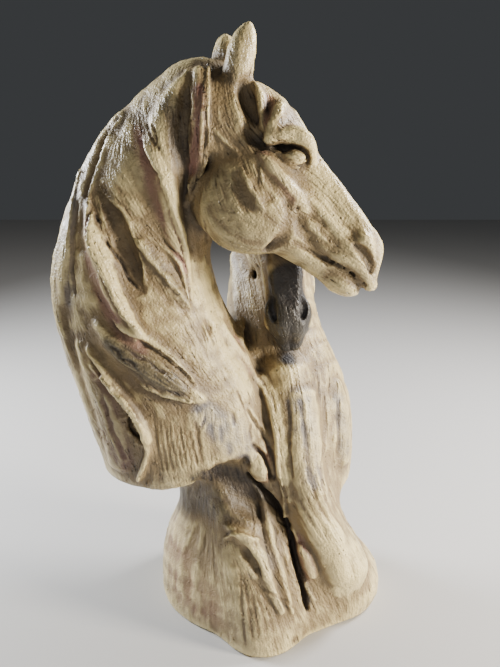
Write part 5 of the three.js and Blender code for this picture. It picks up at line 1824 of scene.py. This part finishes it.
@dataclass(frozen=True)
class Patina:
    """Cast clay, stained brown in the hollows, tinted here and there and dry-brushed pale on top, with
    painted shade and painted highlights laid on.
    """

    buff: tuple = (0.31, 0.225, 0.108, 1)
    brown: tuple = (0.14, 0.096, 0.05, 1)
    umber: tuple = (0.036, 0.026, 0.019, 1)
    # the dry-brush colour, also used for the painted highlights
    cream_and_highlight: tuple = (0.84, 0.69, 0.345, 1)
    rose: tuple = (0.27, 0.125, 0.10, 1)
    blue: tuple = (0.19, 0.19, 0.215, 1)
    charcoal: tuple = (0.014, 0.013, 0.015, 1)

    def material(self) -> bpy.types.Material:
        """Build the material."""
        material = bpy.data.materials.new("patina")
        material.use_nodes = True
        n = Nodes(material)
        grain = self.grain(n)
        shader = self.shader(material)
        for socket, value in (("Base Color", self.colour(n, grain)), ("Normal", self.relief(n, grain)),
                              ("Roughness", self.gloss(n, grain))):
            n.tree.links.new(value, shader.inputs[socket])
        return material

    def grain(self, n: Nodes) -> Grain:
        """Lay the patterns: streaks along the comb, scratches, pits, clouds, where the clay is dry-brushed
        pale, and the painted highlights added to it.

        Args:
            n: the material's nodes.

        Returns:
            The patterns.
        """
        at = n.node("TexCoord", {}).outputs["Object"]
        flow = n.node("VectorMath", {0: n.attribute("flow", True)}, operation="NORMALIZE").outputs[0]
        hollow = n.attribute("hollow")
        cloud = n.noise(at, 22, 3)
        combed = n.times(n.ramp(n.noise(at, 26, 1), 0.25, 0.6), n.ramp(n.attribute("smooth"), 0.9, 0.1))
        fine = n.times(n.streaks(at, flow, 620, 0.007), n.add(n.times(combed, 0.75), 0.25))
        broad = n.times(n.streaks(at, flow, 250, 0.015), n.add(n.times(combed, 0.6), 0.3))
        pits = n.node("TexVoronoi", {"Vector": at, "Scale": 210, "Randomness": 1}).outputs["Distance"]
        pit = n.times(n.ramp(pits, 0.22, 0.1), n.ramp(n.noise(at, 60, 1), 0.6, 0.7))
        scratch = n.ramp(n.add(fine, n.times(cloud, 0.8)), -0.12, -0.62)
        mottle = n.add(n.times(n.less(cloud, 0.5), 2.4), n.times(broad, 0.12))
        rubbed_and_highlit = n.add(n.times(fine, 0.2), n.times(broad, 0.06))
        rubbed_and_highlit = n.less(n.add(rubbed_and_highlit, n.times(mottle, 0.22)), n.times(hollow, 2.2))
        # painted highlight: the tint laid on the lit faces is added to the dry-brushing
        rubbed_and_highlit = n.add(rubbed_and_highlit, n.times(n.attribute("cream_and_highlight"), 0.9))
        rough = n.times(n.add(n.noise(at, 650, 2), n.noise(at, 300, 2)), 0.6)
        return Grain(fine, broad, rough, mottle, scratch, pit, hollow, rubbed_and_highlit)

    def colour(self, n: Nodes, grain: Grain) -> bpy.types.NodeSocket:
        """Lay the colours over each other, from the clay's own to the dark in its scratches.

        Args:
            n: the material's nodes.
            grain: the patterns.

        Returns:
            The colour.
        """
        colour = n.mix(n.ramp(grain.mottle, -0.9, 0.5), self.brown, self.buff)
        for name, tint in (("rose", self.rose), ("blue", self.blue)):
            cover = n.ramp(n.add(grain.mottle, n.times(grain.fine, 0.3)), 1.3, -0.6)
            colour = n.mix(n.times(n.times(n.attribute(name), cover), 0.85), colour, tint)
        shade = n.add(grain.hollow, n.times(n.add(grain.fine, grain.broad), -0.08))
        colour = n.mix(n.times(n.ramp(shade, 0.12, 0.9), 0.86), colour, self.umber)
        # dry-brushed pale on what stands proud, together with the painted highlights
        colour = n.mix(n.times(n.ramp(grain.rubbed_and_highlit, -0.15, 1.05), 0.9), colour, self.cream_and_highlight)
        # painted shade: umber laid over the faces that are in shade
        painted_shade_share = n.times(n.attribute("painted_shade"), n.add(n.times(grain.fine, -0.2), 0.9))
        colour = n.mix(painted_shade_share, colour, self.umber)
        sooty = n.times(n.ramp(n.attribute("charcoal"), 0, 0.5), 0.96)
        colour = n.mix(sooty, colour, self.charcoal)
        return n.mix(n.times(n.add(grain.pit, grain.scratch), 0.55), colour, self.umber)

    def relief(self, n: Nodes, grain: Grain) -> bpy.types.NodeSocket:
        """The relief that is too fine for the mesh."""
        height = n.add(n.times(grain.fine, 0.22), n.times(grain.broad, 0.26))
        height = n.less(n.add(height, grain.rough), n.add(grain.pit, n.times(grain.scratch, 0.7)))
        return n.node("Bump", {"Height": height, "Strength": 1.0, "Distance": 0.0012}).outputs[0]

    def gloss(self, n: Nodes, grain: Grain) -> bpy.types.NodeSocket:
        """The roughness: less where it is dry-brushed and on the painted highlights, more in the hollows."""
        rough = n.add(n.times(n.ramp(grain.rubbed_and_highlit, -0.1, 0.9), -0.1), 0.5)
        return n.add(rough, n.times(grain.hollow, 0.25))

    def shader(self, material: bpy.types.Material) -> bpy.types.Node:
        """Set what is the same all over."""
        shader = material.node_tree.nodes["Principled BSDF"]
        shader.inputs["Specular IOR Level"].default_value = 0.5
        shader.inputs["Coat Weight"].default_value = 0.08
        shader.inputs["Coat Roughness"].default_value = 0.32
        return shader


@dataclass(frozen=True)
class SoftLight:
    """A soft square light that looks at the statue. Its place and side are metres, its power is watts."""

    at: tuple
    power: float
    size: float
    colour: tuple = (1, 1, 1)
    aim: tuple = (-0.02, 0, 0.25)

    def hang(self) -> None:
        """Hang the light."""
        data = bpy.data.lights.new("soft_light", "AREA")
        data.energy, data.size, data.color = self.power, self.size, self.colour
        light = bpy.data.objects.new("soft_light", data)
        light.location = self.at
        light.rotation_mode = "QUATERNION"
        light.rotation_quaternion = (Vector(self.aim) - Vector(self.at)).to_track_quat("-Z", "Y")
        bpy.context.scene.collection.objects.link(light)


@dataclass
class Studio:
    """Floor, lights and camera."""

    sensor: float = 36
    floor_reach: float = 3
    floor_colour: tuple = (0.5, 0.49, 0.475, 1)
    sky: tuple = (0.9, 0.95, 1, 1)
    sky_strength: float = 0.05
    # the warm key on the right, a cool one above it, the rim behind on the left, and a faint one in front
    lights: tuple = (
        SoftLight((1.0, -0.36, 0.42), 28, 0.22, (1, 0.92, 0.79)),
        SoftLight((0.7, 0.3, 0.8), 20, 0.25, (0.98, 0.98, 1)),
        SoftLight((-0.85, 0.3, 0.6), 22, 0.3, (0.93, 0.96, 1)),
        SoftLight((-0.3, -1.1, 0.7), 1.6, 0.6),
    )

    def camera(self) -> None:
        """Stand the camera where the photograph was taken."""
        data = bpy.data.cameras.new("camera")
        data.sensor_width = self.sensor
        data.lens = EYE_FOCUS / PICTURE[1] * self.sensor
        camera = bpy.data.objects.new("camera", data)
        camera.location = tuple(EYE * MM)
        camera.rotation_euler = (math.radians(90 - EYE_TILT), 0, 0)
        bpy.context.scene.collection.objects.link(camera)
        bpy.context.scene.camera = camera

    def floor(self) -> None:
        """Lay the plain pale floor."""
        mesh = bpy.data.meshes.new("floor")
        r = self.floor_reach
        mesh.from_pydata([(-r, -r, 0), (r, -r, 0), (r, r, 0), (-r, r, 0)], [], [(0, 1, 2, 3)])
        floor = bpy.data.objects.new("floor", mesh)
        bpy.context.scene.collection.objects.link(floor)
        material = bpy.data.materials.new("floor")
        material.use_nodes = True
        shader = material.node_tree.nodes["Principled BSDF"]
        shader.inputs["Base Color"].default_value = self.floor_colour
        shader.inputs["Roughness"].default_value = 0.8
        mesh.materials.append(material)

    def build(self) -> None:
        """Set up the whole studio."""
        self.camera()
        self.floor()
        for light in self.lights:
            light.hang()
        world = bpy.data.worlds.new("studio")
        bpy.context.scene.world = world
        world.use_nodes = True
        world.node_tree.nodes["Background"].inputs[0].default_value = self.sky
        world.node_tree.nodes["Background"].inputs[1].default_value = self.sky_strength


def main() -> None:
    """Build the statue and the studio, and report each piece."""
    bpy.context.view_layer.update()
    Studio().build()
    statue = Statue(PITCH)
    piece = statue.build()
    patina = Patina().material()
    crumbs = Crumbs().build(piece, patina)
    piece.data.materials.append(patina)
    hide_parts(CAST_NODE)
    for part in (piece, crumbs):
        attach(part, "root")
        log.info("%s: %d faces", part.name, len(part.data.polygons))
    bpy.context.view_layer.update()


if __name__ == "__main__":
    logging.basicConfig(level=logging.INFO, format="%(name)s: %(message)s")
    main()
